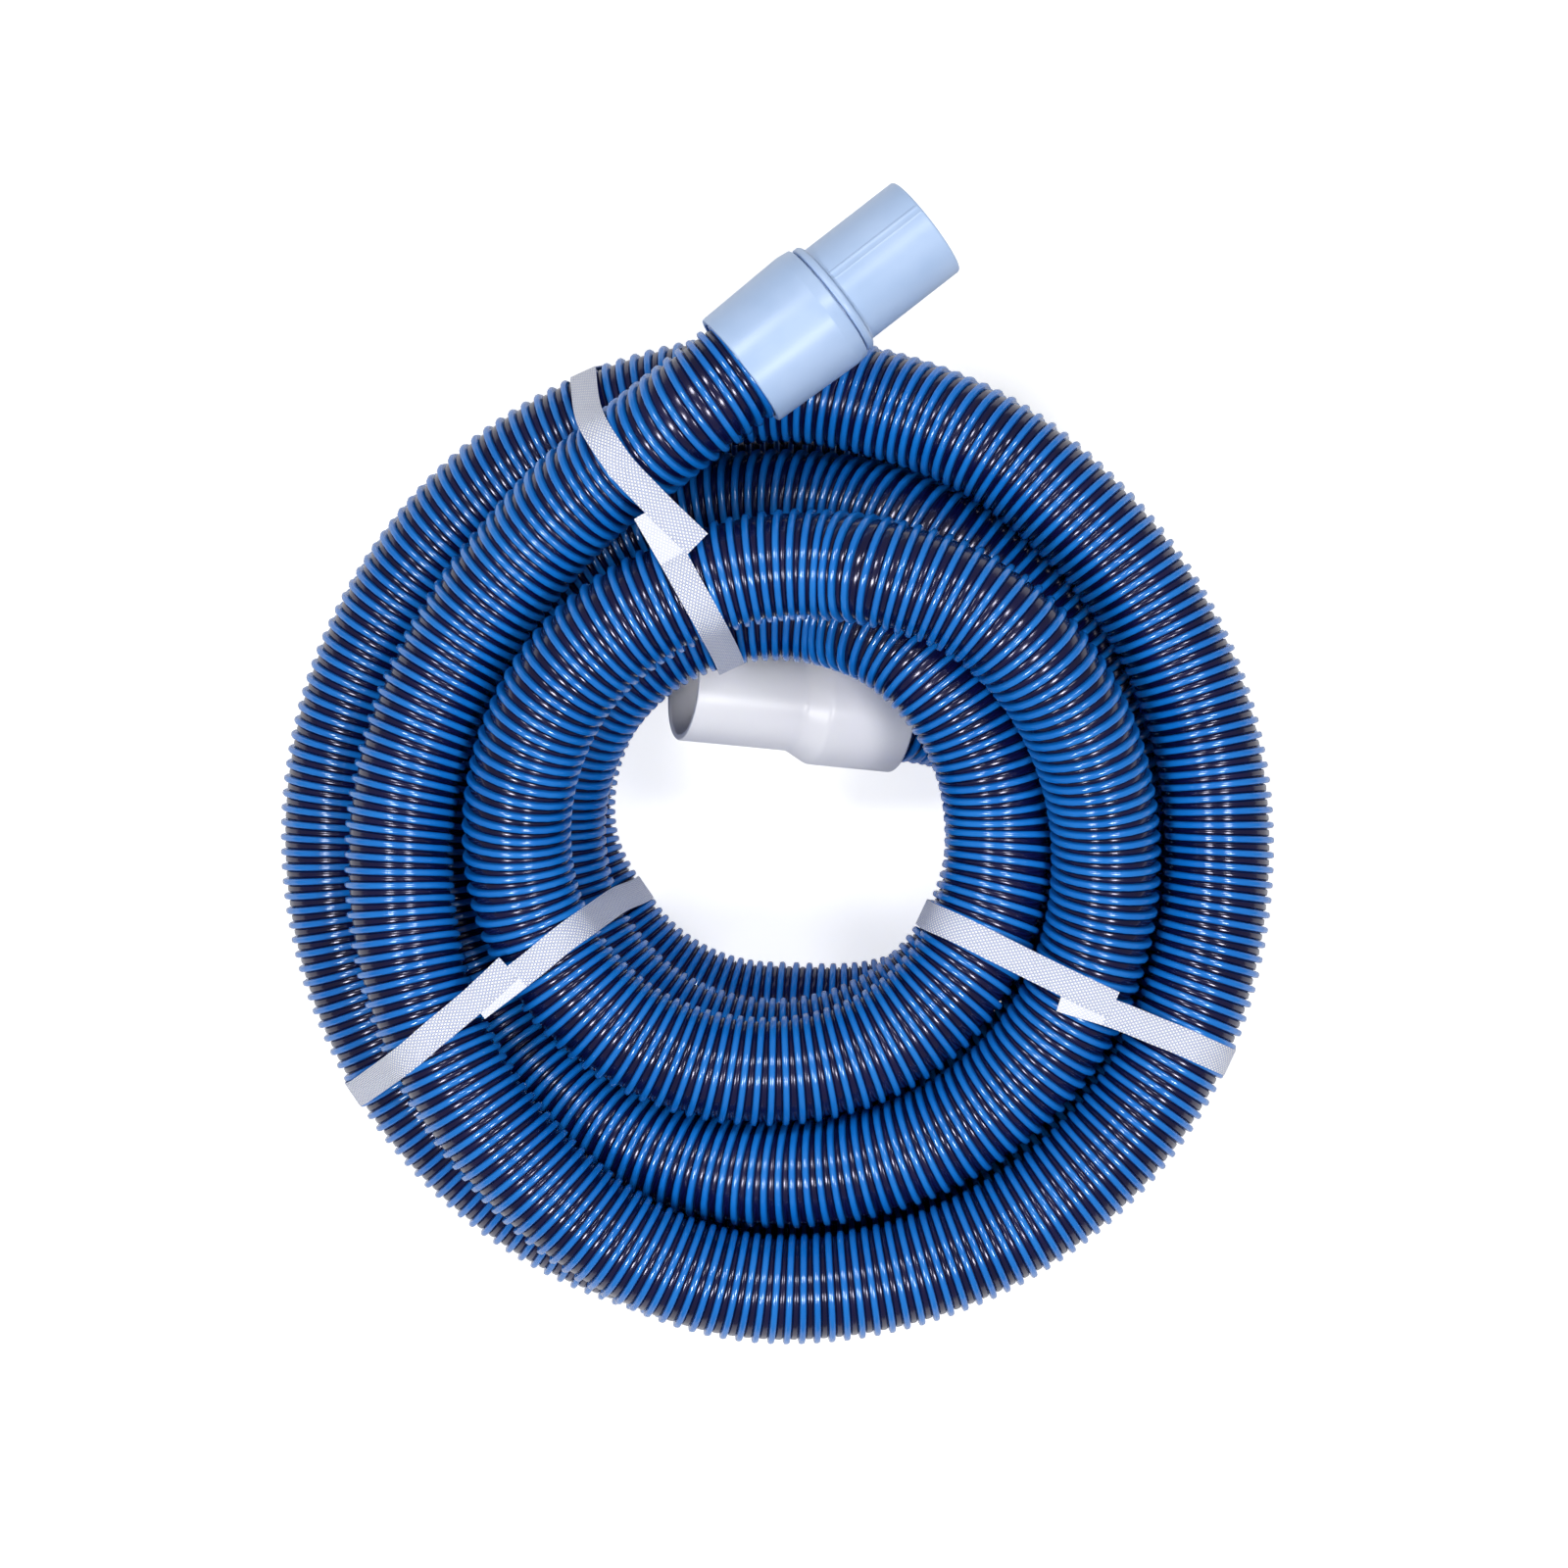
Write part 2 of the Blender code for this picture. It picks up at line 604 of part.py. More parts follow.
def make_tape(name, azimuth, offset, centre_line, material, collection):
    """A closed band of tape in an upright plane, pulled tight round the turns there."""
    mouth, way = fixed_cuff_axis()
    cuff_points = mouth + way * np.linspace(0, FIXED_CUFF_LENGTH, 60)[:, None]
    hose_points = evenly_spaced(centre_line, int(length_of(centre_line) / CHECK_STEP))
    hidden = int(HOSE_INSERTION / CHECK_STEP) + 1   # points of the hose inside the fixed cuff
    hose = slab_discs(hose_points[hidden:], HOSE_RADIUS, azimuth, offset)
    cuff = slab_discs(cuff_points, FIXED_CUFF_END_OD / 2, azimuth, offset)
    half = TAPE_THICKNESS / 2
    middle = step_aside(outline_round(hose, FIT_GAP + half), cuff, TAPE_DETOUR_GAP + half)

    curve = bpy.data.curves.new(name, "CURVE")
    curve.dimensions = "2D"
    curve.fill_mode = "BOTH"
    curve.extrude = TAPE_WIDTH / 2
    add_flat_outline(curve, face_beside(middle, half))
    add_flat_outline(curve, face_beside(middle, -half))
    curve.materials.append(material)
    tape = bpy.data.objects.new(name, curve)
    collection.objects.link(tape)
    out_way = Vector((math.cos(azimuth), math.sin(azimuth), 0.0))
    side_way = Vector((-math.sin(azimuth), math.cos(azimuth), 0.0))
    turn = Matrix((out_way, Vector((0.0, 0.0, 1.0)), -side_way)).transposed().to_4x4()
    tape.matrix_world = Matrix.Translation(side_way * offset) @ turn
    return tape


# ---- Assembly ------------------------------------------------------------------------------


def build():
    clear_scene()
    collection = make_collection("pool_vacuum_hose")
    cutters = make_collection("cutters")
    centre_line = hose_centre_line()
    print(f"hose length {length_of(centre_line):.3f} m")
    print(f"least gap of the hose to itself {least_gap(centre_line) * 1000:.2f} mm")

    make_hose(centre_line, collection, cutters)
    make_fixed_cuff(collection)
    swivel_blue = make_material("cuff_blue", (0.42, 0.56, 0.84), 0.3)
    make_swivel_sleeve(swivel_blue, collection)
    make_swivel_tube(make_material("cuff_tube_blue", (0.42, 0.56, 0.84), 0.3), collection)
    make_seal_washer(collection)
    for name, azimuth, offset in TAPES:
        tape_white = make_material(name + "_white", (0.78, 0.80, 0.84), 0.55)
        make_tape(name, azimuth, offset, centre_line, tape_white, collection)
    for piece in (*collection.objects, *cutters.objects):
        piece.location.y += COIL_AXIS_Y


build()
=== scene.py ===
"""Looks of the coiled pool vacuum hose: wound beads, moulded cuffs and woven tapes.

Every length is in metres. The hose's lay is the one that the solids follow: stations about the
coil's axis, each a clockwise angle, a column of turns and a row of turns.
"""

import math

import bpy
import numpy as np
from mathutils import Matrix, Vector


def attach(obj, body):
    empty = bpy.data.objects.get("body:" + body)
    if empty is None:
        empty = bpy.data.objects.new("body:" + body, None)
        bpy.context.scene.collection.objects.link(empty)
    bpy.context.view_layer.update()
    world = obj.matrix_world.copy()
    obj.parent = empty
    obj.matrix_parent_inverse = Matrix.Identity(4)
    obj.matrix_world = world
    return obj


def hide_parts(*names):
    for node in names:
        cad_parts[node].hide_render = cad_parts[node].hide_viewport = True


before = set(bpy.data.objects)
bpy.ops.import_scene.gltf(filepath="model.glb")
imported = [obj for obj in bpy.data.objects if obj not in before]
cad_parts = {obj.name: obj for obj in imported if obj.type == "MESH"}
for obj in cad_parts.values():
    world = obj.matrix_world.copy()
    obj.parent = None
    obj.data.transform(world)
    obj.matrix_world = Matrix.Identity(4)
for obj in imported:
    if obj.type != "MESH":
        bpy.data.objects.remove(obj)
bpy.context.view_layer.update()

# ---- Sizes shared with the solids ------------------------------------------------------------

FIT_GAP = 0.0003
HOSE_OD = 0.045
HOSE_RADIUS = HOSE_OD / 2
HOSE_BORE = 0.038
HOSE_INSERTION = 0.034
HOSE_STRAIGHT_OUT = 0.011
TURN_PITCH = HOSE_OD + 0.001
COIL_INNER_RADIUS = 0.092
COIL_AXIS = np.array((0.0, -0.0278, 0.0))
LANDING_SOFTNESS = 0.0016
TAPE_WIDTH = 0.0115
TAPE_THICKNESS = 0.0006
LOWEST_ROW_HEIGHT = TAPE_THICKNESS + FIT_GAP + HOSE_RADIUS
SOCKET_RADIUS = HOSE_RADIUS + FIT_GAP
SOCKET_DEPTH = HOSE_INSERTION + FIT_GAP

FIXED_CUFF_LENGTH = 0.0954
FIXED_CUFF_WIDE_LENGTH = 0.0375
FIXED_CUFF_TAPER_LENGTH = 0.0095
FIXED_CUFF_END_OD = 0.0446
FIXED_CUFF_END_WALL = 0.0028
FIXED_CUFF_SOCKET_WALL = 0.0044
SLEEVE_LENGTH = 0.0446
SLEEVE_WALL = 0.00245          # at the hose's end
SLEEVE_FLARE = 0.00145         # growth in radius towards the front
SLEEVE_CHAMFER_LENGTH = 0.0056
SLEEVE_CHAMFER_DROP = 0.0007
SLEEVE_STOP_THICKNESS = 0.0017
SLEEVE_STOP_BORE = 0.0392
TUBE_OD = 0.0446
TUBE_BORE = 0.0386
TUBE_VISIBLE_LENGTH = 0.0493
FRONT_GAP = 0.0008             # dark gap between the sleeve and the flange
FLANGE_OD = 0.050
FLANGE_THICKNESS = 0.0036

# ---- How the hose lies -----------------------------------------------------------------------

LAY = (
    ((45, 0.07, 0.00), (90, -0.33, 0.00), (150, -0.24, 0.00), (180, -0.04, 0.00),
     (240, 0.21, 0.00), (277, 0.39, 0.50), (292, 0.37, 0.81), (314, 0.14, 1.18),
     (335, 0.07, 1.11)),
    ((0, 0.05, 1.00), (45, -0.01, 1.00), (90, -0.04, 1.00), (155, 0.00, 1.00),
     (180, 0.02, 1.10), (240, 0.07, 1.73), (280, 0.07, 1.84), (298, 0.07, 2.08),
     (314, 0.04, 2.18), (339, 0.02, 2.10)),
    ((0, 0.00, 2.00), (45, 0.05, 2.00), (90, 0.08, 2.00), (150, 0.24, 2.00),
     (170, 0.28, 2.09), (195, 0.29, 2.33), (220, 0.30, 2.58), (240, 0.30, 2.71),
     (280, 0.43, 2.82), (292, 0.50, 2.95), (314, 0.69, 3.00)),
    ((0, 0.92, 2.39), (45, 1.06, 1.95), (90, 1.03, 1.65), (115, 1.01, 1.41),
     (135, 1.00, 1.18), (160, 1.01, 1.01), (180, 1.02, 1.00), (240, 1.03, 1.06),
     (277, 1.04, 1.34), (300, 1.05, 1.67), (314, 1.04, 1.64)),
    ((0, 1.04, 1.28), (45, 1.02, 0.93), (90, 0.99, 0.58), (115, 1.00, 0.33),
     (135, 1.01, 0.16), (160, 1.02, 0.00), (180, 1.03, 0.00), (210, 1.10, 0.00),
     (240, 1.24, 0.00), (270, 1.34, 0.00)),
    ((0, 1.59, 0.00), (90, 1.83, 0.00), (108, 1.92, 0.00), (135, 2.00, 0.00),
     (180, 2.03, 0.00), (210, 2.11, 0.16), (235, 2.13, 0.45), (270, 2.10, 0.71),
     (300, 2.06, 0.93)),
    ((0, 2.02, 1.00), (90, 2.03, 1.00), (180, 2.02, 1.00), (210, 2.02, 1.17),
     (235, 2.04, 1.48), (255, 2.04, 1.63), (270, 2.04, 1.75), (285, 1.99, 1.89),
     (300, 1.97, 2.09), (315, 1.93, 2.13)),
    ((0, 1.96, 2.02), (45, 2.07, 2.00), (90, 2.02, 2.00), (135, 1.60, 2.06),
     (180, 1.34, 2.00), (210, 1.28, 2.03), (225, 1.32, 2.15), (245, 1.51, 2.50)),
)
FIRST_BEND_HANDLE = 0.5
LAST_BEND_HANDLE = 0.36
FIXED_CUFF_MOUTH = (-46.3, -0.37, 0.18)
FIXED_CUFF_OPEN_END = (-0.3998, 0.8256)
SWIVEL_CUFF_MOUTH = (-94.1, 2.09, 2.87)
SWIVEL_CUFF_AZIMUTH = math.radians(38)
SWIVEL_CUFF_PITCH = math.radians(-2)

# Each tape: the azimuth it runs out along, how far its line passes from the coil's axis, and how
# it lies over the top. Its inner and its outer run are given as distance out and sideways shift,
# down to the cut end that closes each run. The ends overlap, and one run lies on the other.
TAPES = (
    ("tape_band_1", math.radians(114.7), -0.0130,
     ((0.0660, 0.0), (0.0750, -0.0004), (0.0880, 0.0003), (0.1020, 0.0014), (0.1190, 0.0027),
      (0.1395, 0.0046)),
     ((0.2120, 0.0036), (0.1830, 0.0094), (0.1640, 0.0071), (0.1450, 0.0012),
      (0.1193, -0.0086)),
     "inner"),
    ("tape_band_2", math.radians(214.4), -0.0130,
     ((0.0570, -0.0026), (0.0750, -0.0021), (0.0914, -0.0018), (0.1100, -0.0002),
      (0.1380, 0.0014)),
     ((0.2030, 0.0029), (0.1755, 0.0022), (0.1560, 0.0002), (0.1400, -0.0013),
      (0.1180, -0.0046)),
     "inner"),
    ("tape_band_3", math.radians(-25.1), -0.0022,
     ((0.0660, -0.0003), (0.0820, 0.0005), (0.1040, 0.0001), (0.1260, -0.0004),
      (0.1525, -0.0005)),
     ((0.2080, -0.0019), (0.1880, -0.0020), (0.1710, -0.0028), (0.1600, -0.0033),
      (0.1318, -0.0068)),
     "outer"),
)

# ---- What only the looks need ----------------------------------------------------------------

WINDING_PITCH = 0.0056         # from one blue bead to the next
BEAD_STEPS = 24                # points of a bead for each turn round the hose
BEAD_CREST = 0.0225            # from the hose's axis to the top of the blue bead
BLUE_HALF_WIDTH = 0.00140
BLACK_LEAST_HALF_WIDTH = 0.00025
GROOVE = 0.0003                # of bare wall on each side of the black bead
WALL_RADIUS = 0.0198
WALL_STEP = 0.005              # between rings of the wall under the beads
WALL_SIDES = 24
STRETCHES = 4                  # pieces that the winding is made in
LINE_STEP = 0.001              # between points of the hose's fine centre line
TUBE_BEHIND_FRONT = 0.0062     # of the swivel tube, inside the sleeve

STRIP_EDGE = 6.0               # how sharply a strip of the tapes' weave ends at its gap
TAPE_STEP = 0.0015             # between points along a tape
TAPE_DETOUR_STEP = 0.0015      # between points where a tape steps aside for the fixed cuff
TAPE_DETOUR_GAP = 0.0009       # from the tape to the fixed cuff
TAPE_CLEARANCE = 0.0001        # from the tape to the hose
TAPE_LAP_LIFT = 0.0007         # of the run that lies on the other
TAPE_LAP_SLOPE = 0.004         # length over which that run comes down
TAPE_RUN_REACH = 0.006         # beyond its cut end that a run still rests on the hose
TOP_RUN_FLOOR = 0.03           # height where a tape begins to leave its straight line
TOP_RUN_HEIGHT = 0.09          # height above which it follows its runs fully
OUTLINE_LEAN = 0.001           # to each side of a direction in which the coil is felt
OUTLINE_LEAST_STEP = 0.0004
TAPE_HOSE_POINTS = 3           # one point of the fine line in so many carries the tapes
TAPE_CUFF_POINTS = 60

FLOOR_HALF = 6.0
FLOOR_DROP = 0.0002            # under the part
FLOOR_LIFT = 0.55              # of the floor's brightness to the camera, near the part
FLOOR_LIFT_ENDS = (0.5, 2.5)   # distances from the part between which it grows to white

WALL_LEVEL = 0.22              # of the studio's light, at the horizon and overhead
CEILING_LEVEL = 0.20
WALL_ENDS = (0.05, 0.35)       # sines of the heights between which one turns into the other
LAMP_SIZE = 0.34
LAMP_HEIGHT = 1.72
CORNER_LAMPS = (               # name, x, y and watts
    ("lamp_upper_left", -0.66, 0.66, 9.0),
    ("lamp_upper_right", 0.66, 0.66, 8.0),
    ("lamp_lower_left", -0.66, -0.66, 12.0),
    ("lamp_lower_right", 0.66, -0.66, 12.0),
)

CAMERA_AT = (0.0040, -0.0057, 1.900)
CAMERA_LENS = 100.0
CAMERA_SENSOR = 36.0


def srgb(red, green, blue):
    """Scene colour of an on-screen colour given from 0 to 255."""
    def linear(value):
        value /= 255
        return value / 12.92 if value <= 0.04045 else ((value + 0.055) / 1.055) ** 2.4
    return (linear(red), linear(green), linear(blue), 1.0)


BEAD_BLUE = srgb(12, 110, 200)
BEAD_BLUE_SECOND = srgb(24, 120, 208)
BLUE_GLINT = (0.82, 0.92, 1.0, 1.0)
BEAD_BLACK = srgb(7, 7, 46)
BEAD_BLACK_SECOND = srgb(14, 12, 58)
BLACK_GLINT = (0.84, 0.82, 1.0, 1.0)
WALL_NAVY = srgb(4, 5, 60)
WALL_NAVY_SECOND = srgb(6, 8, 72)
CUFF_BLUE = srgb(169, 194, 230)
CUFF_BLUE_SECOND = srgb(178, 201, 235)
CUFF_WHITE = srgb(248, 247, 252)
CUFF_WHITE_SECOND = srgb(250, 250, 253)
TAPE_WHITE = srgb(252, 253, 255)
# Painted shade of every other square of the weave: a darker copy of the tape's white.
TAPE_SHADE = srgb(190, 199, 230)
# Painted shade in the gaps between the strips, bluish partly from the hose seen through them.
TAPE_GAP_SHADE = srgb(104, 120, 178)
SEAL_BLACK = srgb(22, 22, 24)
SEAL_BLACK_SECOND = srgb(34, 34, 36)
FLOOR_WHITE = srgb(245, 245, 246)
PLAIN_GLINT = (1.0, 1.0, 1.0, 1.0)

# ---- Camera, floor and light -----------------------------------------------------------------


def make_camera():
    camera = bpy.data.cameras.new("camera")
    camera.lens = CAMERA_LENS
    camera.sensor_width = CAMERA_SENSOR
    eye = bpy.data.objects.new("camera", camera)
    eye.location = CAMERA_AT
    bpy.context.scene.collection.objects.link(eye)
    bpy.context.scene.camera = eye
    bpy.context.scene.view_settings.view_transform = "Standard"


def make_floor():
    mesh = bpy.data.meshes.new("floor")
    mesh.from_pydata([(x * FLOOR_HALF, y * FLOOR_HALF, 0)
                      for x, y in ((-1, -1), (1, -1), (1, 1), (-1, 1))],
                     [], [(0, 1, 2, 3)])
    floor = bpy.data.objects.new("floor", mesh)
    floor.location.z = -FLOOR_DROP
    bpy.context.scene.collection.objects.link(floor)
    material, tree, shader = new_material("floor_white", 0.9, specular=0.1)
    shader.inputs["Base Color"].default_value = FLOOR_WHITE
    # The camera sees the floor lifted to white, and its shadow with it. Far out, where the lamps
    # no longer reach, the lift alone makes it white.
    shader.inputs["Emission Color"].default_value = (1, 1, 1, 1)
    ray = add_node(tree, "ShaderNodeLightPath")
    seen = maths(tree, "MAXIMUM", ray.outputs["Is Camera Ray"],
                 ray.outputs["Is Transmission Ray"])
    place = add_node(tree, "ShaderNodeTexCoord")
    distance = add_node(tree, "ShaderNodeVectorMath", operation="LENGTH")
    tree.links.new(place.outputs["Object"], distance.inputs[0])
    lift = map_range(tree, distance.outputs["Value"], *FLOOR_LIFT_ENDS, FLOOR_LIFT, 1.0)
    tree.links.new(maths(tree, "MULTIPLY", seen, lift), shader.inputs["Emission Strength"])
    mesh.materials.append(material)


def make_world():
    """Studio round the table: pale walls and a dim ceiling."""
    world = bpy.data.worlds.new("studio")
    world.use_nodes = True
    tree = world.node_tree
    sky = tree.nodes["Background"]
    sky.inputs["Color"].default_value = (1, 1, 1, 1)
    place = add_node(tree, "ShaderNodeTexCoord")
    split = add_node(tree, "ShaderNodeSeparateXYZ")
    tree.links.new(place.outputs["Generated"], split.inputs["Vector"])
    walls = map_range(tree, split.outputs["Z"], *WALL_ENDS, WALL_LEVEL, CEILING_LEVEL)
    # The camera sees white behind the table.
    ray = add_node(tree, "ShaderNodeLightPath")
    tree.links.new(maths(tree, "MAXIMUM", walls, ray.outputs["Is Camera Ray"]),
                   sky.inputs["Strength"])
    bpy.context.scene.world = world


def make_lamp(name, place, watts):
    """A small square softbox that looks at the middle of the coil."""
    light = bpy.data.lights.new(name, "AREA")
    light.shape = "SQUARE"
    light.size = LAMP_SIZE
    light.energy = watts
    lamp = bpy.data.objects.new(name, light)
    lamp.location = place
    look = Vector((0.0, 0.0, 0.1)) - lamp.location
    lamp.rotation_euler = look.to_track_quat("-Z", "Y").to_euler()
    bpy.context.scene.collection.objects.link(lamp)


def make_lights():
    """Four softboxes, one over each corner of the table, under a dim ceiling."""
    make_world()
    for name, x, y, watts in CORNER_LAMPS:
        make_lamp(name, (x, y, LAMP_HEIGHT), watts)


# ---- The hose's centre line ------------------------------------------------------------------


def unit(vector):
    return vector / np.linalg.norm(vector)


def lay_point(degrees, column, row):
    """World point at a clockwise angle, a column and a row of the coil."""
    radius = COIL_INNER_RADIUS + column * TURN_PITCH
    angle = -math.radians(degrees)
    height = LOWEST_ROW_HEIGHT + row * TURN_PITCH
    return np.array((radius * math.cos(angle), radius * math.sin(angle), height)) + COIL_AXIS


def smooth_through(stations, values, at):
    """Smooth curve through the stations that never swings past their values."""
    width = np.diff(stations)
    slope = np.diff(values) / width
    before = 2 * width[1:] + width[:-1]
    after = width[1:] + 2 * width[:-1]
    same_way = slope[:-1] * slope[1:] > 0
    safe_before = np.where(same_way, slope[:-1], 1.0)
    safe_after = np.where(same_way, slope[1:], 1.0)
    mean = (before + after) / (before / safe_before + after / safe_after)
    tangent = np.concatenate(([slope[0]], np.where(same_way, mean, 0.0), [slope[-1]]))
    i = np.clip(np.searchsorted(stations, at, side="right") - 1, 0, len(width) - 1)
    t = (at - stations[i]) / width[i]
    rise = t * t * (3 - 2 * t)
    start_pull = t * (1 - t) ** 2 * width[i] * tangent[i]
    end_pull = t * t * (t - 1) * width[i] * tangent[i + 1]
    return values[i] + rise * (values[i + 1] - values[i]) + start_pull + end_pull


def coil_points():
    """The turns, as points every two degrees along the laid stations."""
    laid = np.array([(360 * turn + degrees, column, row)
                     for turn, stations in enumerate(LAY)
                     for degrees, column, row in stations])
    angles = np.arange(laid[0, 0] + 1, laid[-1, 0] + 0.5, 2.0)
    columns = smooth_through(laid[:, 0], laid[:, 1], angles)
    rows = smooth_through(laid[:, 0], laid[:, 2], angles)
    return np.array([lay_point(*station) for station in zip(angles, columns, rows)])


def bend(start, start_way, end, end_way, handle, count):
    """Points of a cubic curve that leaves and arrives along the given ways."""
    reach = handle * np.linalg.norm(end - start)
    t = np.linspace(0, 1, count)[:, None]
    return ((1 - t) ** 3 * start
            + 3 * (1 - t) ** 2 * t * (start + start_way * reach)
            + 3 * (1 - t) * t ** 2 * (end - end_way * reach)
            + t ** 3 * end)


def landing(points, way):
    """The same points, coming down the cuff's slope and easing onto the lowest row."""
    steps = np.linalg.norm(np.diff(points[:, :2], axis=0), axis=1)
    travelled = np.concatenate(([0.0], np.cumsum(steps)))
    straight = points[0, 2] + travelled * way[2] / math.hypot(way[0], way[1])
    over = (straight - LOWEST_ROW_HEIGHT) / LANDING_SOFTNESS
    landed = points.copy()
    landed[:, 2] = LOWEST_ROW_HEIGHT + LANDING_SOFTNESS * np.log1p(np.exp(over))
    return landed


def travelled_along(points):
    steps = np.linalg.norm(np.diff(points, axis=0), axis=1)
    return np.concatenate(([0.0], np.cumsum(steps)))


def read_line(points, travelled, at):
    """Points of a line at the given distances along it."""
    return np.stack([np.interp(at, travelled, points[:, k]) for k in range(3)], axis=1)


def fixed_cuff_span():
    """Degrees round the coil that the cuff's length takes it, between its two radii."""
    (_, column, row), (end_column, end_row) = FIXED_CUFF_MOUTH, FIXED_CUFF_OPEN_END
    first = COIL_INNER_RADIUS + column * TURN_PITCH
    last = COIL_INNER_RADIUS + end_column * TURN_PITCH
    rise = (end_row - row) * TURN_PITCH
    level = FIXED_CUFF_LENGTH ** 2 - rise ** 2
    return math.degrees(math.acos((first ** 2 + last ** 2 - level) / (2 * first * last)))


def fixed_cuff_axis():
    mouth = lay_point(*FIXED_CUFF_MOUTH)
    open_end = lay_point(FIXED_CUFF_MOUTH[0] - fixed_cuff_span(), *FIXED_CUFF_OPEN_END)
    return mouth, unit(open_end - mouth)


def swivel_cuff_axis():
    level = math.cos(SWIVEL_CUFF_PITCH)
    way = np.array((level * math.cos(SWIVEL_CUFF_AZIMUTH),
                    level * math.sin(SWIVEL_CUFF_AZIMUTH),
                    math.sin(SWIVEL_CUFF_PITCH)))
    return lay_point(*SWIVEL_CUFF_MOUTH), way


def hose_line():
    """Fine centre line, from the end in the fixed cuff to the end in the swivel cuff."""
    fixed_mouth, fixed_way = fixed_cuff_axis()
    swivel_mouth, swivel_way = swivel_cuff_axis()
    turns = coil_points()
    start = fixed_mouth - fixed_way * HOSE_STRAIGHT_OUT
    end = swivel_mouth - swivel_way * HOSE_STRAIGHT_OUT
    first = bend(start, -fixed_way, turns[0], unit(turns[1] - turns[0]), FIRST_BEND_HANDLE, 60)
    last = bend(turns[-1], unit(turns[-1] - turns[-2]), end, swivel_way, LAST_BEND_HANDLE, 20)
    rough = np.vstack((
        fixed_mouth + fixed_way * HOSE_INSERTION,
        landing(first, -fixed_way),
        turns[1:],
        last[1:],
        swivel_mouth + swivel_way * HOSE_INSERTION,
    ))
    travelled = travelled_along(rough)
    fine = np.arange(0, travelled[-1], LINE_STEP)
    points = read_line(rough, travelled, fine)
    # A short running mean takes the corners of the rough line away.
    reach = 4
    padded = np.vstack((np.repeat(points[:1], reach, axis=0), points,
                        np.repeat(points[-1:], reach, axis=0)))
    window = np.ones(2 * reach + 1) / (2 * reach + 1)
    smooth = np.stack([np.convolve(padded[:, k], window, "valid") for k in range(3)], axis=1)
    smooth[:reach] = points[:reach]
    smooth[-reach:] = points[-reach:]
    return smooth


class Line:
    """The fine centre line with its own directions, read at any distance along it."""

    def __init__(self, points):
        self.points = points
        self.travelled = travelled_along(points)
        self.length = float(self.travelled[-1])
        ahead = np.gradient(points, axis=0)
        self.ahead = ahead / np.linalg.norm(ahead, axis=1)[:, None]
        side = np.cross(self.ahead, (0.0, 0.0, 1.0))
        self.side = side / np.linalg.norm(side, axis=1)[:, None]
        self.up = np.cross(self.side, self.ahead)
        # How fast the direction turns, towards the middle of the bend.
        turning = np.gradient(self.ahead, self.travelled, axis=0)
        window = np.ones(21) / 21
        self.turning = np.stack([np.convolve(turning[:, k], window, "same") for k in range(3)],
                                axis=1)

    def read(self, values, at):
        return read_line(values, self.travelled, at)


# ---- Mesh helpers ----------------------------------------------------------------------------


def grid_object(name, points, close_rows=False, close_columns=False, flip=False):
    """A smooth surface through a grid of points, closed on itself where asked."""
    rows, columns = points.shape[:2]
    row = np.arange(rows if close_rows else rows - 1)
    column = np.arange(columns if close_columns else columns - 1)
    row, column = np.meshgrid(row, column, indexing="ij")
    next_row = (row + 1) % rows
    next_column = (column + 1) % columns
    quads = np.stack((row * columns + column, next_row * columns + column,
                      next_row * columns + next_column, row * columns + next_column), axis=-1)
    if flip:
        quads = quads[..., ::-1]
    mesh = bpy.data.meshes.new(name)
    mesh.vertices.add(rows * columns)
    mesh.vertices.foreach_set("co", points.reshape(-1).astype(np.float32))
    count = quads.size // 4
    mesh.loops.add(quads.size)
    mesh.loops.foreach_set("vertex_index", quads.reshape(-1).astype(np.int32))
    mesh.polygons.add(count)
    mesh.polygons.foreach_set("loop_start", np.arange(0, quads.size, 4, dtype=np.int32))
    mesh.polygons.foreach_set("use_smooth", np.ones(count, dtype=bool))
    mesh.update()
    piece = bpy.data.objects.new(name, mesh)
    bpy.context.scene.collection.objects.link(piece)
    return piece


def rounded(corners, arc_steps=5):
    """Outline from (radius, height, fillet) corners, with each fillet as an arc."""
    outline = []
    for i, (radius, height, fillet) in enumerate(corners):
        here = Vector((radius, height))
        if fillet == 0:
            outline.append(here)
            continue
        before = (Vector(corners[i - 1][:2]) - here).normalized()
        after = (Vector(corners[(i + 1) % len(corners)][:2]) - here).normalized()
        half = before.angle(after) / 2
        centre = here + (before + after).normalized() * (fillet / math.sin(half))
        first = here + before * (fillet / math.tan(half)) - centre
        last = here + after * (fillet / math.tan(half)) - centre
        outline.extend(centre + first.slerp(last, step / arc_steps) * fillet
                       for step in range(arc_steps + 1))
    return outline


def turned_piece(name, corners, origin, way, relief=None, sides=120):
    """A piece turned about the way from the origin. Relief adds radius by angle and height."""
    outline = np.array([tuple(point) for point in rounded(corners)])
    angles = np.linspace(0, 2 * math.pi, sides, endpoint=False)
    if relief is not None:
        angles = np.unique(np.concatenate((angles, relief.angles())))
    side = unit(np.cross((0.0, 0.0, 1.0), way))
    top = np.cross(way, side)
    radius = np.repeat(outline[:, 0][:, None], len(angles), axis=1)
    height = np.repeat(outline[:, 1][:, None], len(angles), axis=1)
    if relief is not None:
        radius = radius + relief.raised(angles[None, :], radius, height)
    round_way = (np.cos(angles)[:, None] * top + np.sin(angles)[:, None] * side)
    points = origin + height[..., None] * way + radius[..., None] * round_way[None]
    piece = grid_object(name, points, close_rows=True, close_columns=True)
    piece.data.set_sharp_from_angle(angle=math.radians(50))
    return piece


# ---- Shader helpers --------------------------------------------------------------------------


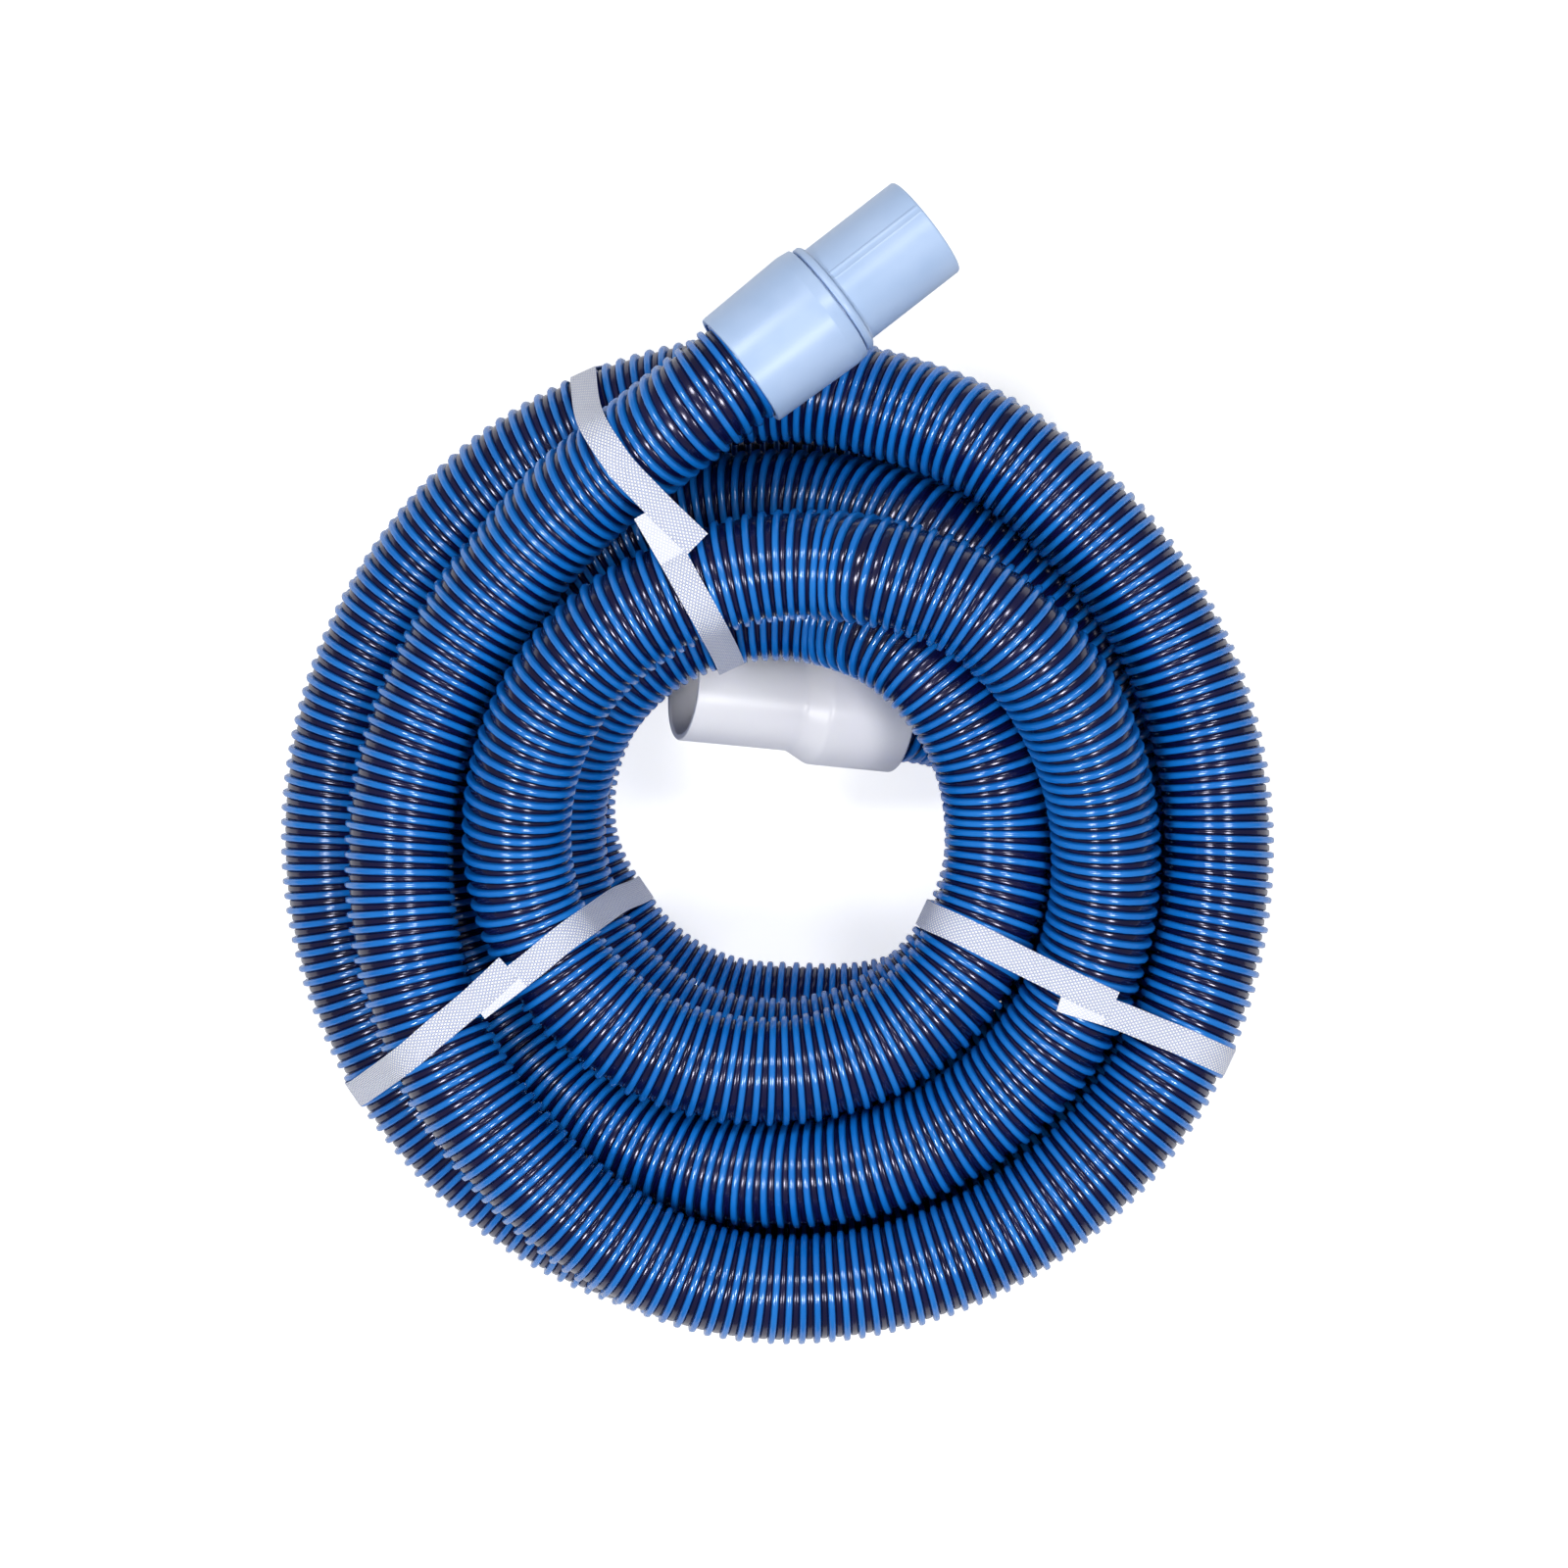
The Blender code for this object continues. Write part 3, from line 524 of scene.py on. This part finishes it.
def new_group(name, inputs, outputs):
    """An empty shader group with float or colour sockets: name, kind and default value."""
    group = bpy.data.node_groups.new(name, "ShaderNodeTree")
    for label, kind, value in inputs:
        socket = group.interface.new_socket(label, in_out="INPUT", socket_type=kind)
        socket.default_value = value
    for label, kind in outputs:
        group.interface.new_socket(label, in_out="OUTPUT", socket_type=kind)
    return group, group.nodes.new("NodeGroupInput"), group.nodes.new("NodeGroupOutput")


def add_node(tree, kind, **settings):
    node = tree.nodes.new(kind)
    for label, value in settings.items():
        setattr(node, label, value)
    return node


def maths(tree, operation, first, second=None, clamp=False):
    """A math node on two values or sockets; gives its output socket."""
    node = add_node(tree, "ShaderNodeMath", operation=operation, use_clamp=clamp)
    for socket, value in zip(node.inputs, (first, second)):
        if value is None:
            continue
        if isinstance(value, (int, float)):
            socket.default_value = value
        else:
            tree.links.new(value, socket)
    return node.outputs[0]


def map_range(tree, value, from_low, from_high, to_low, to_high):
    """A map range node on a socket; gives its output socket."""
    node = add_node(tree, "ShaderNodeMapRange")
    node.inputs["From Min"].default_value = from_low
    node.inputs["From Max"].default_value = from_high
    node.inputs["To Min"].default_value = to_low
    node.inputs["To Max"].default_value = to_high
    tree.links.new(value, node.inputs["Value"])
    return node.outputs["Result"]


def mix_colours(tree, share, first, second):
    """A colour mix by a socket's share; its two ends are colours or sockets."""
    node = add_node(tree, "ShaderNodeMix", data_type="RGBA")
    tree.links.new(share, node.inputs["Factor"])
    for label, value in (("A", first), ("B", second)):
        if isinstance(value, tuple):
            node.inputs[label].default_value = value
        else:
            tree.links.new(value, node.inputs[label])
    return node.outputs["Result"]


def place_group(tree, group, **values):
    node = tree.nodes.new("ShaderNodeGroup")
    node.node_tree = group
    for label, value in values.items():
        node.inputs[label.replace("_", " ")].default_value = value
    return node


def new_material(name, roughness, specular=0.5, glint=PLAIN_GLINT):
    material = bpy.data.materials.new(name)
    material.use_nodes = True
    tree = material.node_tree
    shader = tree.nodes["Principled BSDF"]
    shader.inputs["Roughness"].default_value = roughness
    shader.inputs["Specular IOR Level"].default_value = specular
    shader.inputs["Specular Tint"].default_value = glint
    return material, tree, shader


def give(piece, material):
    piece.data.materials.clear()
    piece.data.materials.append(material)


# ---- Shared surface effects ------------------------------------------------------------------


def cloudy_tone_group():
    """A colour that drifts softly between two tones, with a matching roughness."""
    group, inside, outside = new_group(
        "cloudy_tone",
        [("Tone", "NodeSocketColor", (0.5, 0.5, 0.5, 1.0)),
         ("Second Tone", "NodeSocketColor", (0.5, 0.5, 0.5, 1.0)),
         ("Size", "NodeSocketFloat", 40.0),
         ("Gloss", "NodeSocketFloat", 0.3),
         ("Gloss Drift", "NodeSocketFloat", 0.05)],
        [("Color", "NodeSocketColor"), ("Roughness", "NodeSocketFloat")])
    place = add_node(group, "ShaderNodeTexCoord")
    cloud = add_node(group, "ShaderNodeTexNoise")
    cloud.inputs["Detail"].default_value = 3.0
    group.links.new(place.outputs["Object"], cloud.inputs["Vector"])
    group.links.new(inside.outputs["Size"], cloud.inputs["Scale"])
    spread = map_range(group, cloud.outputs["Fac"], 0.35, 0.65, 0.0, 1.0)
    tone = mix_colours(group, spread, inside.outputs["Tone"], inside.outputs["Second Tone"])
    drift = maths(group, "MULTIPLY", spread, inside.outputs["Gloss Drift"])
    gloss = maths(group, "ADD", inside.outputs["Gloss"], drift)
    group.links.new(tone, outside.inputs["Color"])
    group.links.new(gloss, outside.inputs["Roughness"])
    return group


def moulded_skin_group():
    """Fine unevenness of moulded plastic: a soft waviness under a faint grain."""
    group, inside, outside = new_group(
        "moulded_skin",
        [("Wave Size", "NodeSocketFloat", 60.0),
         ("Grain Size", "NodeSocketFloat", 1500.0),
         ("Grain Share", "NodeSocketFloat", 0.3)],
        [("Height", "NodeSocketFloat")])
    place = add_node(group, "ShaderNodeTexCoord")
    wave = add_node(group, "ShaderNodeTexNoise")
    grain = add_node(group, "ShaderNodeTexNoise")
    grain.inputs["Detail"].default_value = 1.0
    for noise, size in ((wave, "Wave Size"), (grain, "Grain Size")):
        group.links.new(place.outputs["Object"], noise.inputs["Vector"])
        group.links.new(inside.outputs[size], noise.inputs["Scale"])
    share = maths(group, "MULTIPLY", grain.outputs["Fac"], inside.outputs["Grain Share"])
    height = maths(group, "ADD", wave.outputs["Fac"], share)
    group.links.new(height, outside.inputs["Height"])
    return group


def woven_tape_group():
    """Plain weave of flat strips, from the tape's own length and width."""
    group, inside, outside = new_group(
        "woven_tape",
        [("Along", "NodeSocketFloat", 0.00105),
         ("Across", "NodeSocketFloat", 0.00076),
         ("Sealed", "NodeSocketFloat", 0.0)],
        [("Height", "NodeSocketFloat"), ("Gap", "NodeSocketFloat"), ("Over", "NodeSocketFloat")])
    place = add_node(group, "ShaderNodeUVMap", uv_map="along_and_across")
    split = add_node(group, "ShaderNodeSeparateXYZ")
    group.links.new(place.outputs["UV"], split.inputs["Vector"])
    along = maths(group, "DIVIDE", split.outputs["X"], inside.outputs["Along"])
    across = maths(group, "DIVIDE", split.outputs["Y"], inside.outputs["Across"])
    # Over or under, by the square of the weave that the place falls in.
    squares = maths(group, "ADD", maths(group, "FLOOR", along), maths(group, "FLOOR", across))
    over = maths(group, "MODULO", maths(group, "ABSOLUTE", squares), 2.0)
    arc = maths(group, "SINE", maths(group, "MULTIPLY", maths(group, "FRACT", along), math.pi))
    crown = maths(group, "SINE", maths(group, "MULTIPLY", maths(group, "FRACT", across), math.pi))
    # A strip arches over the one it crosses and is nearly flat across its own width.
    arching, flat = 0.7, 0.3
    lengthwise = maths(group, "MULTIPLY", maths(group, "POWER", arc, arching),
                       maths(group, "POWER", crown, flat))
    crosswise = maths(group, "MULTIPLY", maths(group, "POWER", arc, flat),
                      maths(group, "POWER", crown, arching))
    mix = add_node(group, "ShaderNodeMix")
    group.links.new(over, mix.inputs["Factor"])
    group.links.new(lengthwise, mix.inputs["A"])
    group.links.new(crosswise, mix.inputs["B"])
    meet = maths(group, "MULTIPLY", arc, crown)
    strip = maths(group, "MULTIPLY", meet, STRIP_EDGE, clamp=True)
    gap = maths(group, "SUBTRACT", 1.0, strip, clamp=True)
    kept = maths(group, "SUBTRACT", 1.0, inside.outputs["Sealed"])
    for label, value in (("Height", mix.outputs["Result"]), ("Gap", gap), ("Over", over)):
        group.links.new(maths(group, "MULTIPLY", value, kept), outside.inputs[label])
    return group


# ---- Materials -------------------------------------------------------------------------------


def add_bump(tree, shader, height, strength, distance):
    bump = add_node(tree, "ShaderNodeBump")
    bump.inputs["Strength"].default_value = strength
    bump.inputs["Distance"].default_value = distance
    tree.links.new(height, bump.inputs["Height"])
    tree.links.new(bump.outputs["Normal"], shader.inputs["Normal"])


def plastic(name, groups, tone, second, gloss, drift, bump=0.2, specular=0.5,
            glint=PLAIN_GLINT):
    """Plastic with a drifting tone and gloss under a moulded skin."""
    material, tree, shader = new_material(name, gloss, specular, glint)
    cloud = place_group(tree, groups["tone"], Tone=tone, Second_Tone=second, Size=40.0,
                        Gloss=gloss, Gloss_Drift=drift)
    skin = place_group(tree, groups["skin"])
    tree.links.new(cloud.outputs["Color"], shader.inputs["Base Color"])
    tree.links.new(cloud.outputs["Roughness"], shader.inputs["Roughness"])
    add_bump(tree, shader, skin.outputs["Height"], bump, 0.0002)
    return material


def tape_material(name, groups, sealed, gloss):
    """Woven plastic tape: silvery strips with painted shade on every other square, and painted
    shade tinted by the blue hose under it where they part; smoother where sealed.
    """
    material, tree, shader = new_material(name, gloss, 0.6)
    weave = place_group(tree, groups["weave"], Sealed=sealed)
    # Every other square of the weave is darkened by painted shade (TAPE_SHADE).
    strips = mix_colours(tree, weave.outputs["Over"], TAPE_WHITE, TAPE_SHADE)
    # Painted shade in the gaps where the strips part, partly the blue hose seen through them.
    tone = mix_colours(tree, weave.outputs["Gap"], strips, TAPE_GAP_SHADE)
    tree.links.new(tone, shader.inputs["Base Color"])
    rough = map_range(tree, weave.outputs["Over"], 0.0, 1.0, gloss - 0.06, gloss + 0.10)
    tree.links.new(rough, shader.inputs["Roughness"])
    add_bump(tree, shader, weave.outputs["Height"], 0.9, 0.00025)
    return material


def make_materials():
    groups = {"tone": cloudy_tone_group(), "skin": moulded_skin_group(),
              "weave": woven_tape_group()}
    return {
        "blue": plastic("bead_blue", groups, BEAD_BLUE, BEAD_BLUE_SECOND, 0.15, 0.05, bump=0.02,
                        specular=1.0, glint=BLUE_GLINT),
        "black": plastic("bead_black", groups, BEAD_BLACK, BEAD_BLACK_SECOND, 0.16, 0.06,
                         bump=0.02, specular=0.9, glint=BLACK_GLINT),
        "wall": plastic("wall_navy", groups, WALL_NAVY, WALL_NAVY_SECOND, 0.5, 0.1, specular=0.3),
        "cuff_blue": plastic("cuff_blue", groups, CUFF_BLUE, CUFF_BLUE_SECOND, 0.30, 0.06),
        "cuff_white": plastic("cuff_white", groups, CUFF_WHITE, CUFF_WHITE_SECOND, 0.30, 0.06),
        "seal": plastic("seal_black", groups, SEAL_BLACK, SEAL_BLACK_SECOND, 0.6, 0.1),
        "tape": tape_material("tape_woven", groups, 0.0, 0.40),
        "tape_sealed": tape_material("tape_sealed", groups, 0.45, 0.42),
    }


# ---- Hose ------------------------------------------------------------------------------------


# Half of each bead's section, from its middle down to its foot: share of its half width, radius.
BLUE_SECTION = ((0.0, 0.0225), (0.38, 0.02246), (0.64, 0.02230), (0.83, 0.02196), (0.95, 0.0213),
                (1.0, 0.0196))
BLACK_SECTION = ((0.0, 0.0206), (0.50, 0.02058), (0.80, 0.02046), (0.95, 0.02015), (1.0, 0.0196))


def blue_half_width(stretch):
    """The blue bead is stiff and keeps its width in a bend."""
    return np.full_like(stretch, BLUE_HALF_WIDTH)


def black_half_width(stretch):
    """The black bead takes up what a bend gives or takes."""
    room = WINDING_PITCH * stretch / 2 - BLUE_HALF_WIDTH - GROOVE
    return np.maximum(room, BLACK_LEAST_HALF_WIDTH)


def wound_bead(name, line, start, end, shift, section, half_width):
    """One bead of the winding between two distances along the hose, as an open strip."""
    count = int((end - start) / WINDING_PITCH * BEAD_STEPS) + 1
    at = np.linspace(start, end, count)
    turn = 2 * math.pi * (at - shift) / WINDING_PITCH
    outward = (np.cos(turn)[:, None] * line.read(line.side, at)
               + np.sin(turn)[:, None] * line.read(line.up, at))
    ahead = line.read(line.ahead, at)
    centre = line.read(line.points, at)
    stretch = 1 - BEAD_CREST * np.sum(line.read(line.turning, at) * outward, axis=1)
    half = half_width(stretch)
    whole = [(-share, radius) for share, radius in reversed(section[1:])] + list(section)
    columns = [centre + ahead * (share * half)[:, None] + outward * radius
               for share, radius in whole]
    return grid_object(name, np.stack(columns, axis=1), flip=True)


def wall_tube(name, line):
    """The wall under the beads: outer skin, bore and both end faces in one closed surface."""
    at = np.linspace(0, line.length, int(line.length / WALL_STEP))
    angles = np.linspace(0, 2 * math.pi, WALL_SIDES, endpoint=False)
    centre = line.read(line.points, at)
    side, up = line.read(line.side, at), line.read(line.up, at)
    outward = (np.cos(angles)[None, :, None] * side[:, None]
               + np.sin(angles)[None, :, None] * up[:, None])
    outer = centre[:, None] + WALL_RADIUS * outward
    inner = centre[:, None] + HOSE_BORE / 2 * outward
    return grid_object(name, np.concatenate((outer, inner[::-1])), close_rows=True,
                       close_columns=True, flip=True)


def make_hose(line, materials):
    """The wall and its wound beads, in stretches so that each stays a light piece."""
    wall = wall_tube("hose_wall", line)
    give(wall, materials["wall"])
    beads = []
    for i in range(STRETCHES):
        start = line.length * i / STRETCHES
        end = line.length * (i + 1) / STRETCHES
        blue = wound_bead(f"blue_bead_{i + 1}", line, start, end, 0.0, BLUE_SECTION,
                          blue_half_width)
        black = wound_bead(f"black_bead_{i + 1}", line, start, end, WINDING_PITCH / 2,
                           BLACK_SECTION, black_half_width)
        give(blue, materials["blue"])
        give(black, materials["black"])
        beads.extend((blue, black))
    for piece in (wall, *beads):
        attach(piece, "tied_hose")
    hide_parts("hose")
    return wall, beads


# ---- Cuffs -----------------------------------------------------------------------------------


class RaisedLines:
    """Faint raised lines along a cuff where the parts of its mould met.

    Each line has its angle in degrees from the top, its height, its half width and its two ends.
    """

    def __init__(self, radius, lines):
        self.outer = radius
        self.lines = lines

    def angles(self):
        return np.array([(math.radians(degrees) + half / self.outer * share) % (2 * math.pi)
                         for degrees, _, half, _, _ in self.lines
                         for share in (-1.5, -1.0, -0.5, 0.0, 0.5, 1.0, 1.5)])

    def raised(self, angles, radius, height):
        relief = np.zeros(np.broadcast(angles, radius).shape)
        outside = radius > self.outer - 0.0012
        for degrees, rise, half, low, high in self.lines:
            away = np.abs((angles - math.radians(degrees) + math.pi) % (2 * math.pi) - math.pi)
            share = np.clip((1.5 - away * self.outer / half) / 1.0, 0, 1)
            between = (height >= low) & (height <= high)
            relief = np.maximum(relief, share * rise * (outside & between))
        return relief


def make_fixed_cuff(materials):
    mouth, way = fixed_cuff_axis()
    wide = SOCKET_RADIUS + FIXED_CUFF_SOCKET_WALL
    narrow = FIXED_CUFF_END_OD / 2
    bore = narrow - FIXED_CUFF_END_WALL
    taper_start = FIXED_CUFF_WIDE_LENGTH
    taper_end = taper_start + FIXED_CUFF_TAPER_LENGTH
    corners = (
        (narrow, FIXED_CUFF_LENGTH, 0.0007),
        (narrow, taper_end, 0.006),
        (wide, taper_start, 0.006),
        (wide, 0.0, 0.0012),
        (SOCKET_RADIUS, 0.0, 0.0006),
        (SOCKET_RADIUS, SOCKET_DEPTH, 0),
        (bore, SOCKET_DEPTH, 0.0008),
        (bore, FIXED_CUFF_LENGTH, 0.0010),
    )
    cuff = turned_piece("white_cuff", corners, mouth, way)
    give(cuff, materials["cuff_white"])
    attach(cuff, "tied_hose")
    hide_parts("fixed_cuff")
    return cuff


def make_sleeve(materials):
    mouth, way = swivel_cuff_axis()
    outer_mouth = SOCKET_RADIUS + SLEEVE_WALL
    outer_front = outer_mouth + SLEEVE_FLARE
    chamber = TUBE_OD / 2 + FIT_GAP
    stop = SLEEVE_STOP_BORE / 2
    stop_front = SOCKET_DEPTH + SLEEVE_STOP_THICKNESS
    corners = (
        (outer_front - SLEEVE_CHAMFER_DROP, SLEEVE_LENGTH, 0.0006),
        (outer_front, SLEEVE_LENGTH - SLEEVE_CHAMFER_LENGTH, 0.004),
        (outer_mouth, 0.0, 0.0008),
        (SOCKET_RADIUS, 0.0, 0.0004),
        (SOCKET_RADIUS, SOCKET_DEPTH, 0),
        (stop, SOCKET_DEPTH, 0.0004),
        (stop, stop_front, 0.0004),
        (chamber, stop_front, 0),
        (chamber, SLEEVE_LENGTH, 0.0004),
    )
    sleeve = turned_piece("blue_sleeve", corners, mouth, way)
    give(sleeve, materials["cuff_blue"])
    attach(sleeve, "tied_hose")
    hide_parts("swivel_sleeve")
    return sleeve


def make_swivel_tube(materials):
    mouth, way = swivel_cuff_axis()
    flange = FLANGE_OD / 2
    flange_front = FRONT_GAP + FLANGE_THICKNESS
    start = -TUBE_BEHIND_FRONT
    end = FRONT_GAP + TUBE_VISIBLE_LENGTH
    tube = TUBE_OD / 2
    corners = (
        (tube, end, 0.0013),
        (tube, flange_front, 0.0016),
        (flange, flange_front, 0.0016),
        (flange, FRONT_GAP, 0.0010),
        (tube, FRONT_GAP, 0),
        (tube, start, 0),
        (TUBE_BORE / 2, start, 0.0004),
        (TUBE_BORE / 2, end, 0.0010),
    )
    whole_length = (flange_front + 0.0005, end - 0.001)
    lines = RaisedLines(tube, (
        (18.5, 0.00030, 0.00050, *whole_length),
        (11.0, 0.00012, 0.00035, *whole_length),
        (-57.0, 0.00022, 0.00045, flange_front + 0.003, flange_front + 0.018),
        (198.5, 0.00025, 0.00045, *whole_length),
    ))
    piece = turned_piece("blue_tube", corners, mouth + way * SLEEVE_LENGTH, way, lines)
    give(piece, materials["cuff_blue"])
    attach(piece, "swivel")
    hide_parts("swivel_tube")
    return piece


# ---- Tapes -----------------------------------------------------------------------------------


def ease(share):
    """Smooth rise from 0 to 1."""
    share = np.clip(share, 0, 1)
    return share * share * (3 - 2 * share)


class Tape:
    """One tape's upright plane, and the sideways shift of its two runs over the top."""

    def __init__(self, name, azimuth, offset, inner, outer, on_top):
        self.name = name
        self.offset = offset
        self.out_way = np.array((math.cos(azimuth), math.sin(azimuth), 0.0))
        self.side_way = np.array((-math.sin(azimuth), math.cos(azimuth), 0.0))
        self.inner = np.array(inner)
        self.outer = np.array(outer[::-1])
        self.inner_end = inner[-1][0]
        self.outer_end = outer[-1][0]
        self.on_top = on_top

    @staticmethod
    def shift(run, out):
        return smooth_through(run[:, 0], run[:, 1], np.clip(out, run[0, 0], run[-1, 0]))

    def discs(self, points, radius):
        """Circles that a round bar along the points shows to the tape."""
        flat = points - COIL_AXIS
        out = flat @ self.out_way
        side = flat @ self.side_way - self.offset
        high = ease((points[:, 2] - TOP_RUN_FLOOR) / (TOP_RUN_HEIGHT - TOP_RUN_FLOOR))
        from_inner = np.abs(side - high * self.shift(self.inner, out))
        from_outer = np.abs(side - high * self.shift(self.outer, out))
        from_inner[out > self.inner_end + TAPE_RUN_REACH] = np.inf
        from_outer[out < self.outer_end - TAPE_RUN_REACH] = np.inf
        beside = np.maximum(np.minimum(from_inner, from_outer) - TAPE_WIDTH / 2, 0)
        seen = (beside < radius) & (out > 0)
        return np.stack((out[seen], points[seen, 2], np.sqrt(radius ** 2 - beside[seen] ** 2)),
                        axis=1)


def outline_round(discs, growth, steps=120):
    """Taut outline round the discs, grown, as points every few degrees of its direction."""
    outline = []
    for step in range(steps):
        angle = 2 * math.pi * step / steps
        for lean in (-OUTLINE_LEAN, OUTLINE_LEAN):
            reach = (discs[:, 0] * math.cos(angle + lean)
                     + discs[:, 1] * math.sin(angle + lean) + discs[:, 2])
            out, height, radius = discs[int(np.argmax(reach))]
            point = (out + (radius + growth) * math.cos(angle),
                     height + (radius + growth) * math.sin(angle))
            if not outline or math.dist(point, outline[-1]) > OUTLINE_LEAST_STEP:
                outline.append(point)
    return outline


def step_aside(outline, obstacle, growth):
    """The outline, pushed outwards where it would run through the discs of an obstacle."""
    passed = []
    for i, here in enumerate(outline):
        ahead = outline[(i + 1) % len(outline)]
        pieces = max(1, int(math.dist(here, ahead) / TAPE_DETOUR_STEP))
        for piece in range(pieces):
            share = piece / pieces
            out, height = np.array(here) * (1 - share) + np.array(ahead) * share
            level = (obstacle[:, 2] + growth) ** 2 - (obstacle[:, 1] - height) ** 2
            crossed = level > 0
            reach = max(obstacle[crossed, 0] + np.sqrt(level[crossed]), default=0.0)
            passed.append((max(out, reach), height))
    return np.array(passed)


def distance_to_end(outline, travelled, out):
    """Distance along the outline to where its run over the top is the given distance out."""
    going_in = np.diff(outline[:, 0], append=outline[-1, 0]) < 0
    top = (outline[:, 1] > TOP_RUN_HEIGHT) & going_in & (travelled[:-1] < travelled[-1] / 2)
    return float(np.interp(-out, -outline[top, 0], travelled[:-1][top]))


def strip_section():
    """Section of a tape: place across it and share of its thickness."""
    half = TAPE_WIDTH / 2
    return ((-half, 0.25), (-half, 0.85), (-half * 0.95, 1.0), (-half * 0.5, 1.0), (0.0, 1.0),
            (half * 0.5, 1.0), (half * 0.95, 1.0), (half, 0.85), (half, 0.25),
            (half * 0.95, 0.0), (0.0, 0.0), (-half * 0.95, 0.0))


def tape_strip(tape, outline):
    """The whole tape as one open strip, once round and on over its own first end."""
    closed = np.vstack((outline, outline[:1]))
    travelled = travelled_along(closed)
    loop = float(travelled[-1])
    first = distance_to_end(outline, travelled, tape.inner_end)
    last = distance_to_end(outline, travelled, tape.outer_end) + loop
    at = np.linspace(first, last, int((last - first) / TAPE_STEP))
    flat = np.stack([np.interp(at % loop, travelled, closed[:, k]) for k in range(2)], axis=1)
    high = ease((flat[:, 1] - TOP_RUN_FLOOR) / (TOP_RUN_HEIGHT - TOP_RUN_FLOOR))
    on_inner = at < first + loop / 2
    shift = high * np.where(on_inner, tape.shift(tape.inner, flat[:, 0]),
                            tape.shift(tape.outer, flat[:, 0]))
    if tape.on_top == "inner":
        lift = TAPE_LAP_LIFT * (1 - ease((at - (last - loop)) / TAPE_LAP_SLOPE))
        sealed = at < last - loop
    else:
        lift = TAPE_LAP_LIFT * ease((at - (first + loop)) / TAPE_LAP_SLOPE + 1)
        sealed = at > first + loop
    path = (COIL_AXIS + flat[:, :1] * tape.out_way + flat[:, 1:] * np.array((0.0, 0.0, 1.0))
            + (tape.offset + shift)[:, None] * tape.side_way)
    ahead = np.gradient(path, axis=0)
    ahead /= np.linalg.norm(ahead, axis=1)[:, None]
    face = np.cross(ahead, tape.side_way)
    face /= np.linalg.norm(face, axis=1)[:, None]
    across_way = np.cross(face, ahead)
    columns = [path + face * (lift + TAPE_THICKNESS * share)[:, None] + across_way * across
               for across, share in strip_section()]
    grid = np.stack(columns, axis=1)
    # Each cut end is closed by a row drawn together into its middle.
    first_row = np.repeat(grid[:1].mean(axis=1, keepdims=True), grid.shape[1], axis=1)
    last_row = np.repeat(grid[-1:].mean(axis=1, keepdims=True), grid.shape[1], axis=1)
    grid = np.concatenate((first_row, grid, last_row))
    strip = grid_object(tape.name + "_woven", grid, close_columns=True)
    write_tape_map(strip, np.concatenate((at[:1], at, at[-1:])))
    strip.data.set_sharp_from_angle(angle=math.radians(50))
    return strip, np.concatenate((sealed[:1], sealed))


def write_tape_map(strip, along):
    """UV map in metres: along the tape and across it."""
    mesh = strip.data
    across = np.array([place for place, _ in strip_section()])
    layer = mesh.uv_layers.new(name="along_and_across")
    index = np.empty(len(mesh.loops), dtype=np.int32)
    mesh.loops.foreach_get("vertex_index", index)
    u = along[index // len(across)] - along[0] + 1.0
    v = across[index % len(across)] + 0.1
    layer.data.foreach_set("uv", np.stack((u, v), axis=1).reshape(-1).astype(np.float32))


def make_tape(name, azimuth, offset, inner, outer, on_top, line, materials):
    tape = Tape(name, azimuth, offset, inner, outer, on_top)
    mouth, way = fixed_cuff_axis()
    hose_points = line.points[int(HOSE_INSERTION / LINE_STEP):][::TAPE_HOSE_POINTS]
    along_cuff = np.linspace(0, FIXED_CUFF_LENGTH, TAPE_CUFF_POINTS)
    cuff_points = mouth + way * along_cuff[:, None]
    taut = outline_round(tape.discs(hose_points, HOSE_RADIUS), TAPE_CLEARANCE)
    cuff = tape.discs(cuff_points, FIXED_CUFF_END_OD / 2)
    strip, sealed = tape_strip(tape, step_aside(taut, cuff, TAPE_DETOUR_GAP))
    strip.data.materials.append(materials["tape"])
    strip.data.materials.append(materials["tape_sealed"])
    columns = len(strip_section())
    marks = np.repeat(sealed.astype(np.int32), columns)
    strip.data.polygons.foreach_set("material_index", marks[:len(strip.data.polygons)])
    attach(strip, "tied_hose")
    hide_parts(name)
    return strip


# ---- Assembly --------------------------------------------------------------------------------


def dress_washer(materials):
    washer = bpy.data.objects["seal_washer"]
    for slot in washer.material_slots:
        slot.material = materials["seal"]


def build():
    make_camera()
    materials = make_materials()
    line = Line(hose_line())
    wall, beads = make_hose(line, materials)
    white_cuff = make_fixed_cuff(materials)
    sleeve = make_sleeve(materials)
    make_swivel_tube(materials)
    for tape in TAPES:
        make_tape(*tape, line, materials)
    dress_washer(materials)
    make_floor()
    make_lights()


build()
